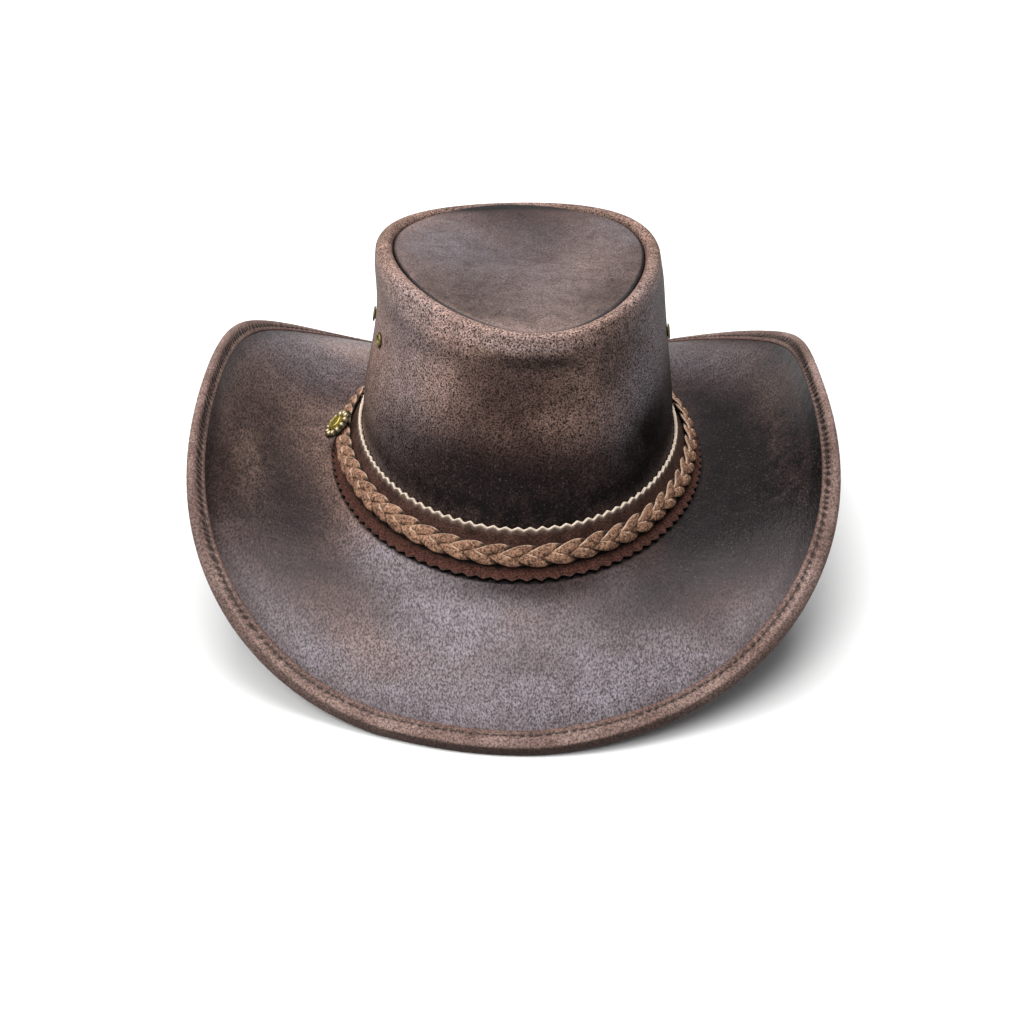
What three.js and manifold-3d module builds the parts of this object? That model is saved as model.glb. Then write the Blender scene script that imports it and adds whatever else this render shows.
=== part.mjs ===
// Leather western hat. An egg-shaped crown with a rolled rim stands on a wide saddle-shaped brim with
// a bound edge. Round its foot lie a suede band with pinked edges and a plaited suede braid.
// Millimetres, +Z up. The hat faces -Y, and the wearer's left is at +X.
// Angles go round the hat in degrees, from 0 at the wearer's left, by 90 at the back, to 270 at the front.

import * as THREE from 'three';
import { mergeVertices } from 'three/addons/utils/BufferGeometryUtils.js';
import Module from 'manifold-3d';

const wasm = await Module();
wasm.setup();

// Columns round the crown and brim, and the clearance between neighbouring pieces.
const COLUMNS = 60;
const GAP = 0.3;

// Half steps for measuring directions, in degrees, in millimetres and in shares of the wall's height,
// steps for measuring along the crown's foot, and the distance at which two corners become one.
const TURN_STEP = 0.5;
const AWAY_STEP = 0.5;
const SHARE_STEP = 0.01;
const FOOT_STEPS = 1440;
const MERGE = 1e-4;

// The crown's foot and top are ovals, narrower in front by the egg share. The top sits a little back
// and to the side, and is turned by a few degrees, as on a soft hat.
const FOOT = { halfWidth: 83.6, halfLength: 104.6, egg: 0.04, side: 0, back: 0, turn: 0 };
const TOP = { halfWidth: 64.7, halfLength: 81.2, egg: 0.096, side: 1.4, back: 3, turn: 6.4 };
const FOOT_HEIGHT = { side: 0, front: -0.5, back: -4 };
const TOP_HEIGHT = { side: 110.7, front: 103.7, back: 102.5 };
const WALL = 2.2;
const WALL_CLEAR = 0.4;
const WALL_ROWS = [0.16, 0.3, 0.46, 0.63, 0.77, 0.88];

// The rolled rim, and the plate set inside it.
const RIM = { width: 5.6, height: 3.4, steps: 4, lip: 2.8 };
const TIP = { thickness: 2.2, inset: 1.7, dome: 1.5, backRise: 3.2, backSpread: 24, fade: 6 };
const TIP_RINGS = [0.3, 0.55, 0.77, 0.92];

// Soft dents of the crown wall: angle, share of its height, push outwards, and how far each spreads.
const WALL_DENTS = [
  { angle: 180, height: 0.56, push: -2.4, wide: 30, high: 0.16 },
  { angle: 180, height: 0.95, push: 2.8, wide: 45, high: 0.1 },
  { angle: 0, height: 0.6, push: 1.3, wide: 45, high: 0.18 },
  { angle: 0, height: 0.95, push: 1.4, wide: 45, high: 0.12 },
  { angle: 268, height: 0.9, push: 1.2, wide: 38, high: 0.09 },
  { angle: 268, height: 0.66, push: -1.6, wide: 30, high: 0.12 },
  { angle: 188, height: 0.16, push: -2.6, wide: 30, high: 0.1 },
  { angle: 355, height: 0.16, push: -0.9, wide: 30, high: 0.1 }
];

// Soft dents of the tip: place, rise, and how far each spreads across and along the hat.
const TIP_DENTS = [
  { x: 2, y: -30, rise: 2.6, wide: 17, long: 22 },
  { x: -34, y: -32, rise: -3, wide: 12, long: 15 },
  { x: 36, y: -26, rise: -3, wide: 11, long: 15 },
  { x: 10, y: 18, rise: -3.6, wide: 26, long: 13 },
  { x: -2, y: 60, rise: 2.5, wide: 26, long: 13 }
];

// The brim, every 30 degrees: its width, its slope at the crown and its slope at the edge.
// The rows are the control values of a smooth closed curve.
const BRIM = [
  { width: 86.6, root: 2.2, edge: 88.7 },
  { width: 84.4, root: -0.2, edge: 37.9 },
  { width: 88, root: -4.1, edge: -19.7 },
  { width: 88, root: -10, edge: -53.7 },
  { width: 88, root: -3.9, edge: -20 },
  { width: 87, root: 9.1, edge: 46.6 },
  { width: 85, root: 5.1, edge: 72.4 },
  { width: 88.9, root: -9.1, edge: 37.7 },
  { width: 90.3, root: -6.1, edge: -52.5 },
  { width: 89.4, root: -2.5, edge: -52.2 },
  { width: 86.8, root: -3.7, edge: -39.1 },
  { width: 84.6, root: -1.6, edge: 39.3 }
];
const BRIM_THICKNESS = 2.4;
const BRIM_ROWS = [0, 0.12, 0.3, 0.48, 0.66, 0.84, 1];

// The brim's edge is pressed level where the hat stands on it, at the front and at the back.
const STANDING_DROP = -39.1;
const UNDER_EDGE = 1.6;
const FLOOR = STANDING_DROP - UNDER_EDGE;

// The folded strip over the brim's edge: its leather and its blunt nose, and how far it reaches in.
const BINDING = { leather: 1.1, nose: 1.4, chamfer: 1.3 };
const BINDING_REACH = { side: 7.4, front: 9, back: 8.4 };

// The suede band: teeth round it, and their depth. Its top edge lies on the wall and its low edge on
// the brim, each a little clear of it. Between them it bends, just behind the braid.
const BAND = { thickness: 1.5, teeth: 104, tooth: 1.4, top: 19.4, low: 8.9, topClear: 0.4, lowClear: 0.6 };

// The braid: its middle, out and up from the crown's foot, the lean of its face, and its section.
// Its edges and its face ripple where the laces cross.
const BRAID = { out: 4.7, up: 10.7, lean: 30, halfWidth: 4.7, front: 2.3, back: 2.5 };
const RIPPLE = { count: 54, steps: 2, edge: 0.5, face: 0.35 };

// At the sides the braid lies flatter and higher, and the band's low edge further out: angle, changes of
// the lean, of the braid's place out and up and of the band's low edge, and how far they spread.
const SIDE_SHIFTS = [
  { angle: 195, lean: 13.5, out: -1, up: 2.8, low: 0, wide: 32 },
  { angle: 350, lean: 8, out: 0.2, up: 1.5, low: 1.5, wide: 32 }
];

// The flower stud on the braid at the wearer's right, which faces a little forwards. Its outer rows are
// notched between the petals.
const CONCHO = { angle: 179, facing: 186, lean: 48, radius: 8.9, petals: 12, petalDepth: 0.35, lift: 3.6 };
const CONCHO_PROFILE = [
  { share: 0, height: 0, notch: 0 },
  { share: 0.86, height: 0, notch: 1 },
  { share: 1, height: 0.5, notch: 1 },
  { share: 0.94, height: 1.3, notch: 1 },
  { share: 0.6, height: 1.1, notch: 0 },
  { share: 0.48, height: 1.9, notch: 0 },
  { share: 0, height: 2.6, notch: 0 }
];

// The vent eyelets, two on each side of the crown: their place, their radii and their lengths.
const EYELET = { height: 0.652, spread: 9.8, sides: 8, face: 0.9, back: 0.5, clear: 0.4 };
const EYELET_RADII = { flange: 3.8, barrel: 2.5, hole: 1.9, wallHole: 2.8 };
const DRILL_LENGTH = 14;

const DEGREE = Math.PI / 180;
const UP = new THREE.Vector3(0, 0, 1);

const leather = new THREE.MeshStandardMaterial({ color: 0x4a352b, roughness: 0.55, metalness: 0 });
const bindingLeather = new THREE.MeshStandardMaterial({ color: 0x573c2f, roughness: 0.65, metalness: 0 });
const suede = new THREE.MeshStandardMaterial({ color: 0x4e382c, roughness: 0.95, metalness: 0 });
const braidSuede = new THREE.MeshStandardMaterial({ color: 0x8a6650, roughness: 0.9, metalness: 0 });
const brass = new THREE.MeshStandardMaterial({ color: 0xb0934f, roughness: 0.35, metalness: 1 });

// Blends a side, a front and a back value round the hat.
function aroundHat(angle, values) {
  const along = Math.sin(angle * DEGREE);
  const end = along < 0 ? values.front : values.back;
  return values.side + (end - values.side) * along * along;
}

// Reads one column of a table of evenly spaced rows as a closed cubic B-spline.
function readTable(rows, column, angle) {
  const place = (((angle / 360) * rows.length) % rows.length + rows.length) % rows.length;
  const row = Math.floor(place);
  const part = place - row;
  const value = (step) => rows[(row + step + rows.length) % rows.length][column];
  const before = (1 - part) ** 3 * value(-1);
  const here = (3 * part ** 3 - 6 * part ** 2 + 4) * value(0);
  const next = (-3 * part ** 3 + 3 * part ** 2 + 3 * part + 1) * value(1);
  const after = part ** 3 * value(2);
  return (before + here + next + after) / 6;
}

// A bell curve, 1 in the middle and 0.6 at one spread away.
function bell(distance, spread) {
  return Math.exp(-0.5 * (distance / spread) ** 2);
}

function angleBetween(first, second) {
  return ((first - second + 540) % 360) - 180;
}

// How much band and braid are shifted at an angle, from one column of the table.
function sideShift(angle, column) {
  const near = (row) => bell(angleBetween(angle, row.angle), row.wide);
  return SIDE_SHIFTS.reduce((sum, row) => sum + row[column] * near(row), 0);
}

function ovalPoint(oval, angle) {
  const x = oval.halfWidth * Math.cos(angle * DEGREE) * (1 + oval.egg * Math.sin(angle * DEGREE));
  const y = oval.halfLength * Math.sin(angle * DEGREE);
  const cosine = Math.cos(oval.turn * DEGREE);
  const sine = Math.sin(oval.turn * DEGREE);
  return new THREE.Vector3(x * cosine - y * sine + oval.side, x * sine + y * cosine + oval.back, 0);
}

// The level direction that points straight out of an oval.
function outwards(oval, angle) {
  const tangent = ovalPoint(oval, angle + TURN_STEP).sub(ovalPoint(oval, angle - TURN_STEP));
  return new THREE.Vector3(tangent.y, -tangent.x, 0).normalize();
}

// The crown wall before it is dented: straight from the foot to the top.
function plainWall(angle, share) {
  const foot = ovalPoint(FOOT, angle).setZ(aroundHat(angle, FOOT_HEIGHT));
  const top = ovalPoint(TOP, angle).setZ(aroundHat(angle, TOP_HEIGHT));
  return foot.lerp(top, share);
}

function wallPoint(angle, share) {
  let push = 0;
  for (const dent of WALL_DENTS) {
    const near = bell(angleBetween(angle, dent.angle), dent.wide);
    push += dent.push * near * bell(share - dent.height, dent.high);
  }
  return plainWall(angle, share).addScaledVector(outwards(TOP, angle), push);
}

function wallHeight(angle) {
  return aroundHat(angle, TOP_HEIGHT) - aroundHat(angle, FOOT_HEIGHT);
}

// The brim's middle surface is an arc out from the crown's foot, from its slope there to its slope at the
// edge. Where it has turned by twice an angle h, its chord is d sin(h) / h long and slopes by the mean of
// its two end slopes. Under the crown wall the brim is level.
function brimPoint(angle, distance) {
  const direction = outwards(FOOT, angle);
  const foot = ovalPoint(FOOT, angle).setZ(aroundHat(angle, FOOT_HEIGHT));
  if (distance <= 0) return foot.addScaledVector(direction, distance);
  const root = readTable(BRIM, 'root', angle) * DEGREE;
  const edge = readTable(BRIM, 'edge', angle) * DEGREE;
  const half = ((edge - root) * distance) / readTable(BRIM, 'width', angle) / 2;
  const chord = half ? (distance * Math.sin(half)) / half : distance;
  foot.addScaledVector(direction, chord * Math.cos(root + half));
  return foot.addScaledVector(UP, chord * Math.sin(root + half));
}

// The brim as it stands: where its edge would hang below the standing level it is pressed up to it.
function standingBrim(angle, distance) {
  const width = readTable(BRIM, 'width', angle);
  const pressed = Math.max(0, STANDING_DROP - brimPoint(angle, width).z);
  const point = brimPoint(angle, distance);
  point.z += pressed * Math.max(0, distance / width) ** 2;
  return point;
}

// The unit normal of a surface, and its unit direction away from the crown's foot.
function surfaceFrame(surface, angle, along, stepAlong) {
  const around = surface(angle + TURN_STEP, along).sub(surface(angle - TURN_STEP, along));
  const away = surface(angle, along + stepAlong).sub(surface(angle, along - stepAlong)).normalize();
  const normal = new THREE.Vector3().crossVectors(away, around).normalize();
  return { away, normal };
}

function onWall(angle, share, offset) {
  const { normal } = surfaceFrame(wallPoint, angle, share, SHARE_STEP);
  return wallPoint(angle, share).addScaledVector(normal, -offset);
}

function onBrim(angle, distance, offset, beyond = 0) {
  const { away, normal } = surfaceFrame(standingBrim, angle, distance, AWAY_STEP);
  return standingBrim(angle, distance).addScaledVector(normal, offset).addScaledVector(away, beyond);
}

// Angles that cut the crown's foot into lengths that are all the same.
function evenAngles(count) {
  const lengths = [0];
  for (let index = 1; index <= FOOT_STEPS; index += 1) {
    const here = ovalPoint(FOOT, (360 * index) / FOOT_STEPS);
    const last = ovalPoint(FOOT, (360 * (index - 1)) / FOOT_STEPS);
    lengths.push(lengths[index - 1] + here.distanceTo(last));
  }
  const angles = [];
  let sample = 0;
  for (let index = 0; index < count; index += 1) {
    const wanted = (lengths[FOOT_STEPS] * index) / count;
    while (lengths[sample + 1] < wanted) sample += 1;
    const part = (wanted - lengths[sample]) / (lengths[sample + 1] - lengths[sample]);
    angles.push((360 * (sample + part)) / FOOT_STEPS);
  }
  return angles;
}

function closedGeometry(points, triangles) {
  const geometry = new THREE.BufferGeometry();
  const numbers = points.flatMap((point) => [point.x, point.y, point.z]);
  geometry.setAttribute('position', new THREE.Float32BufferAttribute(numbers, 3));
  geometry.setIndex(triangles);
  return geometry;
}

// A closed ring: one closed section for each angle. Every section holds the same points in the same
// order. Each strip between two of them is cut along one diagonal, or along the other where its
// section runs back towards the crown, so that facets of neighbouring pieces stay parallel.
function ringSolid(angles, section, runsBack = () => false) {
  const points = angles.flatMap((angle, column) => section(angle, column));
  const size = points.length / angles.length;
  const triangles = [];
  for (let column = 0; column < angles.length; column += 1) {
    const here = column * size;
    const next = ((column + 1) % angles.length) * size;
    for (let index = 0; index < size; index += 1) {
      const after = (index + 1) % size;
      const [a, b, c, d] = [here + index, here + after, next + after, next + index];
      if (runsBack(index)) triangles.push(a, b, d, b, c, d);
      else triangles.push(a, b, c, a, c, d);
    }
  }
  return closedGeometry(points, triangles);
}

// A closed plate: rings from the middle out on its top, and back to the middle underneath.
function plateSolid(angles, rings, top, bottom) {
  const points = [top(0, 0), ...rings.flatMap((ring) => angles.map((angle) => top(angle, ring)))];
  const under = points.length;
  points.push(bottom(0, 0), ...rings.flatMap((ring) => angles.map((angle) => bottom(angle, ring))));
  const count = angles.length;
  const triangles = [];
  for (let column = 0; column < count; column += 1) {
    const next = (column + 1) % count;
    triangles.push(0, 1 + column, 1 + next, under, under + 1 + next, under + 1 + column);
    for (let ring = 1; ring < rings.length; ring += 1) {
      const inner = 1 + (ring - 1) * count;
      const outer = inner + count;
      const [a, b] = [inner + column, inner + next];
      const [c, d] = [outer + column, outer + next];
      triangles.push(a, c, d, a, d, b);
      triangles.push(under + a, under + d, under + c, under + a, under + b, under + d);
    }
    const edge = 1 + (rings.length - 1) * count;
    const [a, b] = [edge + column, edge + next];
    triangles.push(a, under + a, under + b, a, under + b, b);
  }
  return closedGeometry(points, triangles);
}

// Turns the faces of a closed geometry outwards.
function facingOut(geometry) {
  const position = geometry.getAttribute('position');
  const index = geometry.getIndex().array;
  const corner = (which) => new THREE.Vector3().fromBufferAttribute(position, index[which]);
  let volume = 0;
  for (let first = 0; first < index.length; first += 3) {
    volume += corner(first).dot(corner(first + 1).cross(corner(first + 2)));
  }
  if (volume < 0) {
    for (let first = 0; first < index.length; first += 3) {
      [index[first], index[first + 1]] = [index[first + 1], index[first]];
    }
  }
  return geometry;
}

function bare(geometry) {
  geometry.deleteAttribute('normal');
  geometry.deleteAttribute('uv');
  return geometry;
}

function toManifold(geometry) {
  const merged = facingOut(mergeVertices(bare(geometry), MERGE));
  const vertProperties = new Float32Array(merged.getAttribute('position').array);
  const triVerts = new Uint32Array(merged.getIndex().array);
  return new wasm.Manifold(new wasm.Mesh({ numProp: 3, vertProperties, triVerts }));
}

function fromManifold(solid) {
  const mesh = solid.getMesh();
  const geometry = new THREE.BufferGeometry();
  geometry.setAttribute('position', new THREE.Float32BufferAttribute(mesh.vertProperties, mesh.numProp));
  geometry.setIndex(Array.from(mesh.triVerts));
  return geometry;
}

const evenColumns = Array.from({ length: COLUMNS }, (_, column) => (360 * column) / COLUMNS);

// A frame on the crown wall whose Z axis points straight out of it.
function eyeletFrame(angle) {
  const { away, normal } = surfaceFrame(wallPoint, angle, EYELET.height, SHARE_STEP);
  const out = normal.negate();
  const across = new THREE.Vector3().crossVectors(away, out).normalize();
  return new THREE.Matrix4().makeBasis(across, new THREE.Vector3().crossVectors(out, across), out)
    .setPosition(wallPoint(angle, EYELET.height));
}

const eyelets = [
  { name: 'eyelet_left_front', angle: -EYELET.spread },
  { name: 'eyelet_left_back', angle: EYELET.spread },
  { name: 'eyelet_right_back', angle: 180 - EYELET.spread },
  { name: 'eyelet_right_front', angle: 180 + EYELET.spread }
];

function eyeletGeometry(angle) {
  const { flange, barrel, hole } = EYELET_RADII;
  const inside = -WALL - EYELET.clear;
  const profile = [
    [hole, inside - EYELET.back],
    [flange, inside - EYELET.back],
    [flange, inside],
    [barrel, inside],
    [barrel, EYELET.clear],
    [flange, EYELET.clear],
    [(hole + flange) / 2, EYELET.clear + EYELET.face],
    [hole, EYELET.clear + EYELET.face / 2],
    [hole, inside - EYELET.back]
  ].map(([radius, height]) => new THREE.Vector2(radius, height));
  const geometry = new THREE.LatheGeometry(profile, EYELET.sides);
  return geometry.rotateX(Math.PI / 2).applyMatrix4(eyeletFrame(angle));
}

// Where the wall starts to roll over, and the inner side of the rolled rim.
function shoulder(angle) {
  return 1 - RIM.height / wallHeight(angle);
}

function rimInside(angle) {
  return plainWall(angle, shoulder(angle)).addScaledVector(outwards(TOP, angle), -RIM.width);
}

// The crown's side wall, from its foot over the rolled rim and back down inside to its foot.
function crownSide() {
  const lip = (angle) => 1 - (RIM.height + RIM.lip) / wallHeight(angle);
  const bottom = (angle) => (BRIM_THICKNESS / 2 + WALL_CLEAR) / wallHeight(angle);
  const innerWall = (index) => index > WALL_ROWS.length + RIM.steps + 2;
  const geometry = ringSolid(evenColumns, (angle) => {
    const rim = [];
    for (let step = 1; step <= RIM.steps; step += 1) {
      const turn = (Math.PI * step) / RIM.steps;
      const across = (1 - Math.cos(turn)) / 2;
      const point = wallPoint(angle, shoulder(angle)).lerp(rimInside(angle), across);
      rim.push(point.addScaledVector(UP, RIM.height * Math.sin(turn)));
    }
    rim.push(rimInside(angle).addScaledVector(UP, -RIM.lip));
    const rows = [bottom(angle), ...WALL_ROWS];
    const outer = [...rows, shoulder(angle)].map((share) => wallPoint(angle, share));
    const inner = [...WALL_ROWS, lip(angle)].map((share) => onWall(angle, share, -WALL)).reverse();
    const foot = outer[0].clone().addScaledVector(outwards(FOOT, angle), -WALL);
    return [...outer, ...rim, ...inner, foot];
  }, innerWall);
  let solid = toManifold(geometry);
  for (const { angle } of eyelets) {
    const { wallHole } = EYELET_RADII;
    const drill = new THREE.CylinderGeometry(wallHole, wallHole, DRILL_LENGTH, EYELET.sides);
    solid = solid.subtract(toManifold(drill.rotateX(Math.PI / 2).applyMatrix4(eyeletFrame(angle))));
  }
  return fromManifold(solid);
}

// A point of the tip, at a share of the way from its middle to its edge, and at a depth below its top.
function tipPoint(angle, share, depth) {
  const edge = rimInside(angle).addScaledVector(outwards(TOP, angle), -GAP);
  const rise = TIP.backRise * bell(angleBetween(angle, 90), TIP.backSpread);
  const edgeHeight = aroundHat(angle, TOP_HEIGHT) - TIP.inset + rise;
  const middle = new THREE.Vector3(TOP.side, TOP.back, 0);
  const point = middle.lerp(edge.clone().setZ(0), share);
  const centreHeight = (TOP_HEIGHT.front + TOP_HEIGHT.back) / 2 - TIP.inset + TIP.dome;
  const flatten = share * share * (3 - 2 * share);
  let height = centreHeight + (edgeHeight - centreHeight) * flatten;
  const inside = 1 - share ** TIP.fade;
  for (const dent of TIP_DENTS) {
    height += inside * dent.rise * bell(point.x - dent.x, dent.wide) * bell(point.y - dent.y, dent.long);
  }
  return point.setZ(height - depth);
}

function crownTip() {
  const top = (angle, share) => tipPoint(angle, share, 0);
  const bottom = (angle, share) => tipPoint(angle, share, TIP.thickness);
  return plateSolid(evenColumns, [...TIP_RINGS, 1], top, bottom);
}

// How far out from the crown's foot the folded strip starts.
function bindingStart(angle) {
  return readTable(BRIM, 'width', angle) - aroundHat(angle, BINDING_REACH);
}

function brim() {
  const underside = (index) => index > BRIM_ROWS.length;
  return ringSolid(evenColumns, (angle) => {
    const width = readTable(BRIM, 'width', angle);
    const rows = [-WALL, ...BRIM_ROWS.map((row) => row * bindingStart(angle)), width];
    const top = rows.map((distance) => onBrim(angle, distance, BRIM_THICKNESS / 2));
    const under = rows.map((distance) => onBrim(angle, distance, -BRIM_THICKNESS / 2)).reverse();
    return [...top, ...under];
  }, underside);
}

function brimBinding() {
  const inner = BRIM_THICKNESS / 2 + GAP;
  const outer = inner + BINDING.leather;
  const blunt = outer - BINDING.chamfer;
  const outerUnder = 4;
  const innerTop = 8;
  return ringSolid(evenColumns, (angle) => {
    const width = readTable(BRIM, 'width', angle);
    const start = bindingStart(angle);
    const section = [
      onBrim(angle, start, outer),
      onBrim(angle, width, outer, BINDING.nose - BINDING.chamfer),
      onBrim(angle, width, blunt, BINDING.nose),
      onBrim(angle, width, -blunt, BINDING.nose),
      onBrim(angle, width, -outer, BINDING.nose - BINDING.chamfer),
      onBrim(angle, start, -outer),
      onBrim(angle, start, -inner),
      onBrim(angle, width, -inner, GAP),
      onBrim(angle, width, inner, GAP),
      onBrim(angle, start, inner)
    ];
    return section.map((point) => point.setZ(Math.max(point.z, FLOOR)));
  }, (index) => index === outerUnder || index === innerTop);
}

// The braid's middle line, out and up from the crown's foot.
function braidMiddle(angle) {
  const out = BRAID.out + sideShift(angle, 'out');
  const up = BRAID.up + sideShift(angle, 'up') + aroundHat(angle, FOOT_HEIGHT);
  return ovalPoint(FOOT, angle).addScaledVector(outwards(FOOT, angle), out).setZ(up);
}

// The direction out of a face that leans back from upright, and the direction up along it.
function leaningFace(angle, lean) {
  const direction = outwards(FOOT, angle);
  const sine = Math.sin(lean * DEGREE);
  const cosine = Math.cos(lean * DEGREE);
  const face = direction.clone().multiplyScalar(cosine).addScaledVector(UP, sine);
  const across = direction.clone().multiplyScalar(-sine).addScaledVector(UP, cosine);
  return { face, across };
}

function hatBand() {
  return ringSolid(evenAngles(2 * BAND.teeth), (angle, column) => {
    const tooth = (column % 2 ? 0.5 : -0.5) * BAND.tooth;
    const top = (BAND.top + tooth) / wallHeight(angle);
    const low = BAND.low + sideShift(angle, 'low') + tooth;
    const { face } = leaningFace(angle, BRAID.lean + sideShift(angle, 'lean'));
    const bend = braidMiddle(angle).addScaledVector(face, -BRAID.back - GAP);
    return [
      onWall(angle, top, BAND.topClear + BAND.thickness),
      bend,
      onBrim(angle, low, BRIM_THICKNESS / 2 + BAND.lowClear + BAND.thickness),
      onBrim(angle, low, BRIM_THICKNESS / 2 + BAND.lowClear),
      bend.clone().addScaledVector(face, -BAND.thickness),
      onWall(angle, top, BAND.topClear)
    ];
  });
}

function braid() {
  const count = RIPPLE.count * RIPPLE.steps;
  return ringSolid(evenAngles(count), (angle, column) => {
    const middle = braidMiddle(angle);
    const { face, across } = leaningFace(angle, BRAID.lean + sideShift(angle, 'lean'));
    const wave = Math.cos((2 * Math.PI * column) / RIPPLE.steps);
    const upper = BRAID.halfWidth + RIPPLE.edge * wave;
    const lower = BRAID.halfWidth - RIPPLE.edge * wave;
    const place = (width, depth) => {
      return middle.clone().addScaledVector(across, width).addScaledVector(face, depth);
    };
    return [
      place(upper, 0),
      place(upper / 2, BRAID.front + RIPPLE.face * wave),
      place(-lower / 2, BRAID.front - RIPPLE.face * wave),
      place(-lower, 0),
      place(0, -BRAID.back)
    ];
  });
}

function concho() {
  const middle = braidMiddle(CONCHO.angle);
  const { face, across } = leaningFace(CONCHO.facing, CONCHO.lean);
  const along = new THREE.Vector3().crossVectors(across, face);
  const count = 2 * CONCHO.petals;
  const turns = Array.from({ length: count }, (_, index) => (360 * index) / count);
  const rows = CONCHO_PROFILE.slice(1, -1);
  const place = (turn, radius, height) => middle.clone()
    .addScaledVector(along, radius * Math.cos(turn * DEGREE))
    .addScaledVector(across, radius * Math.sin(turn * DEGREE))
    .addScaledVector(face, CONCHO.lift + height);
  const points = [place(0, 0, CONCHO_PROFILE[0].height), place(0, 0, CONCHO_PROFILE.at(-1).height)];
  for (const { share, height, notch } of rows) {
    turns.forEach((turn, index) => {
      const depth = index % 2 ? notch * CONCHO.petalDepth : 0;
      points.push(place(turn, share * CONCHO.radius - depth, height));
    });
  }
  const triangles = [];
  for (let column = 0; column < count; column += 1) {
    const next = (column + 1) % count;
    const last = 2 + (rows.length - 1) * count;
    triangles.push(0, 2 + next, 2 + column, 1, last + column, last + next);
    for (let row = 0; row < rows.length - 1; row += 1) {
      const low = 2 + row * count;
      const high = low + count;
      triangles.push(low + column, low + next, high + next, low + column, high + next, high + column);
    }
  }
  return closedGeometry(points, triangles);
}

const hat = new THREE.Group();

function addPiece(name, geometry, material) {
  const mesh = new THREE.Mesh(facingOut(mergeVertices(bare(geometry), MERGE)), material);
  mesh.name = name;
  hat.add(mesh);
}

addPiece('crown_side', crownSide(), leather);
addPiece('crown_tip', crownTip(), leather);
addPiece('brim', brim(), leather);
addPiece('brim_binding', brimBinding(), bindingLeather);
addPiece('hat_band', hatBand(), suede);
addPiece('braid', braid(), braidSuede);
addPiece('concho', concho(), brass);
for (const { name, angle } of eyelets) addPiece(name, eyeletGeometry(angle), brass);

// The origin is on the floor, under the middle of the hat's box.
const box = new THREE.Box3().setFromObject(hat);
const centre = box.getCenter(new THREE.Vector3());
hat.position.set(-centre.x, -centre.y, -FLOOR);

export default hat;
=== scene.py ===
import math

import bpy
import numpy as np
from mathutils import Matrix, Vector


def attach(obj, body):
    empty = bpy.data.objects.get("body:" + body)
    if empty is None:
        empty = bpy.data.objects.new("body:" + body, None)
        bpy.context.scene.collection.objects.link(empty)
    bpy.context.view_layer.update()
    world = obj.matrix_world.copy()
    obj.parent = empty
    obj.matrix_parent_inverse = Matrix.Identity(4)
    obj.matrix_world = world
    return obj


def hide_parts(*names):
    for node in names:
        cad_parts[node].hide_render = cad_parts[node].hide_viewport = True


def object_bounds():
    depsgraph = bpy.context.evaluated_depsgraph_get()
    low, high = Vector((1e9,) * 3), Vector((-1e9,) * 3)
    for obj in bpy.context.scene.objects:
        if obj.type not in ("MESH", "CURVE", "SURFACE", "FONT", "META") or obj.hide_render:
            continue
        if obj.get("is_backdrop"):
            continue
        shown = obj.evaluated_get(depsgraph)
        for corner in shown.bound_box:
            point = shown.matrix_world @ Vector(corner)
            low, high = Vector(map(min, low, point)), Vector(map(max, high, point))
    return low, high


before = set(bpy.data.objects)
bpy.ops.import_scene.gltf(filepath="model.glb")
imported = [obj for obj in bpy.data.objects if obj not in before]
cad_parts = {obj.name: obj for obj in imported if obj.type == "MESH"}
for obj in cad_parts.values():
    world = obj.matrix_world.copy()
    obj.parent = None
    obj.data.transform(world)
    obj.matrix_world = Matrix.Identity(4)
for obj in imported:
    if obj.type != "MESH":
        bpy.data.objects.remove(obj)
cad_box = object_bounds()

# A worn leather western hat. The wall, the tip, the brim, the bound edge, the suede band, the plaited
# braid, the flower stud and the eyelets are each worked out as a surface over a grid.
# Sizes are in millimetres and angles in degrees. They are measured from the middle of the crown's foot:
# x to the wearer's left, y to the back, z up. Turns go round from the wearer's left by 90 at the back to
# 270 at the front.
MM = 0.001
HAT_PLACE = np.array([1.478, -0.426, 40.7])

# The crown's foot and top, its wall and its rolled rim.
FOOT = {"half_width": 83.6, "half_length": 104.6, "egg": 0.04, "side": 0.0, "back": 0.0, "turn": 0.0}
TOP = {"half_width": 64.7, "half_length": 81.2, "egg": 0.096, "side": 1.4, "back": 3.0, "turn": 6.4}
FOOT_HEIGHT = {"side": 0.0, "front": -0.5, "back": -4.0}
TOP_HEIGHT = {"side": 110.7, "front": 103.7, "back": 102.5}
WALL = 2.2
WALL_CLEAR = 0.4
RIM = {"width": 5.6, "height": 3.4, "lip": 2.8}
TIP = {"gap": 0.3, "thickness": 2.2, "inset": 1.7, "dome": 1.5, "fade": 6}
TIP_BACK = {"rise": 3.2, "spread": 24.0}
TIP_ROLL = {"depth": 1.6, "start": 0.93, "round": 0.98}

# Soft dents: place both ways, spread both ways, and push. On the wall a place is a turn and a share of the
# height, and a push goes outwards. On the tip it is x and y, and a push goes up.
WALL_DENTS = [
    (180, 0.56, 30, 0.16, -2.4), (180, 0.95, 45, 0.1, 2.8), (0, 0.6, 45, 0.18, 1.3),
    (0, 0.95, 45, 0.12, 1.4), (268, 0.9, 38, 0.09, 1.2), (268, 0.66, 30, 0.12, -1.6),
    (188, 0.16, 30, 0.1, -2.6), (355, 0.16, 30, 0.1, -0.9),
]
TIP_DENTS = [
    (2, -30, 17, 22, 2.6), (-34, -32, 12, 15, -3), (36, -26, 11, 15, -3), (10, 18, 26, 13, -3.6),
    (-2, 60, 26, 13, 2.5),
]

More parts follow.
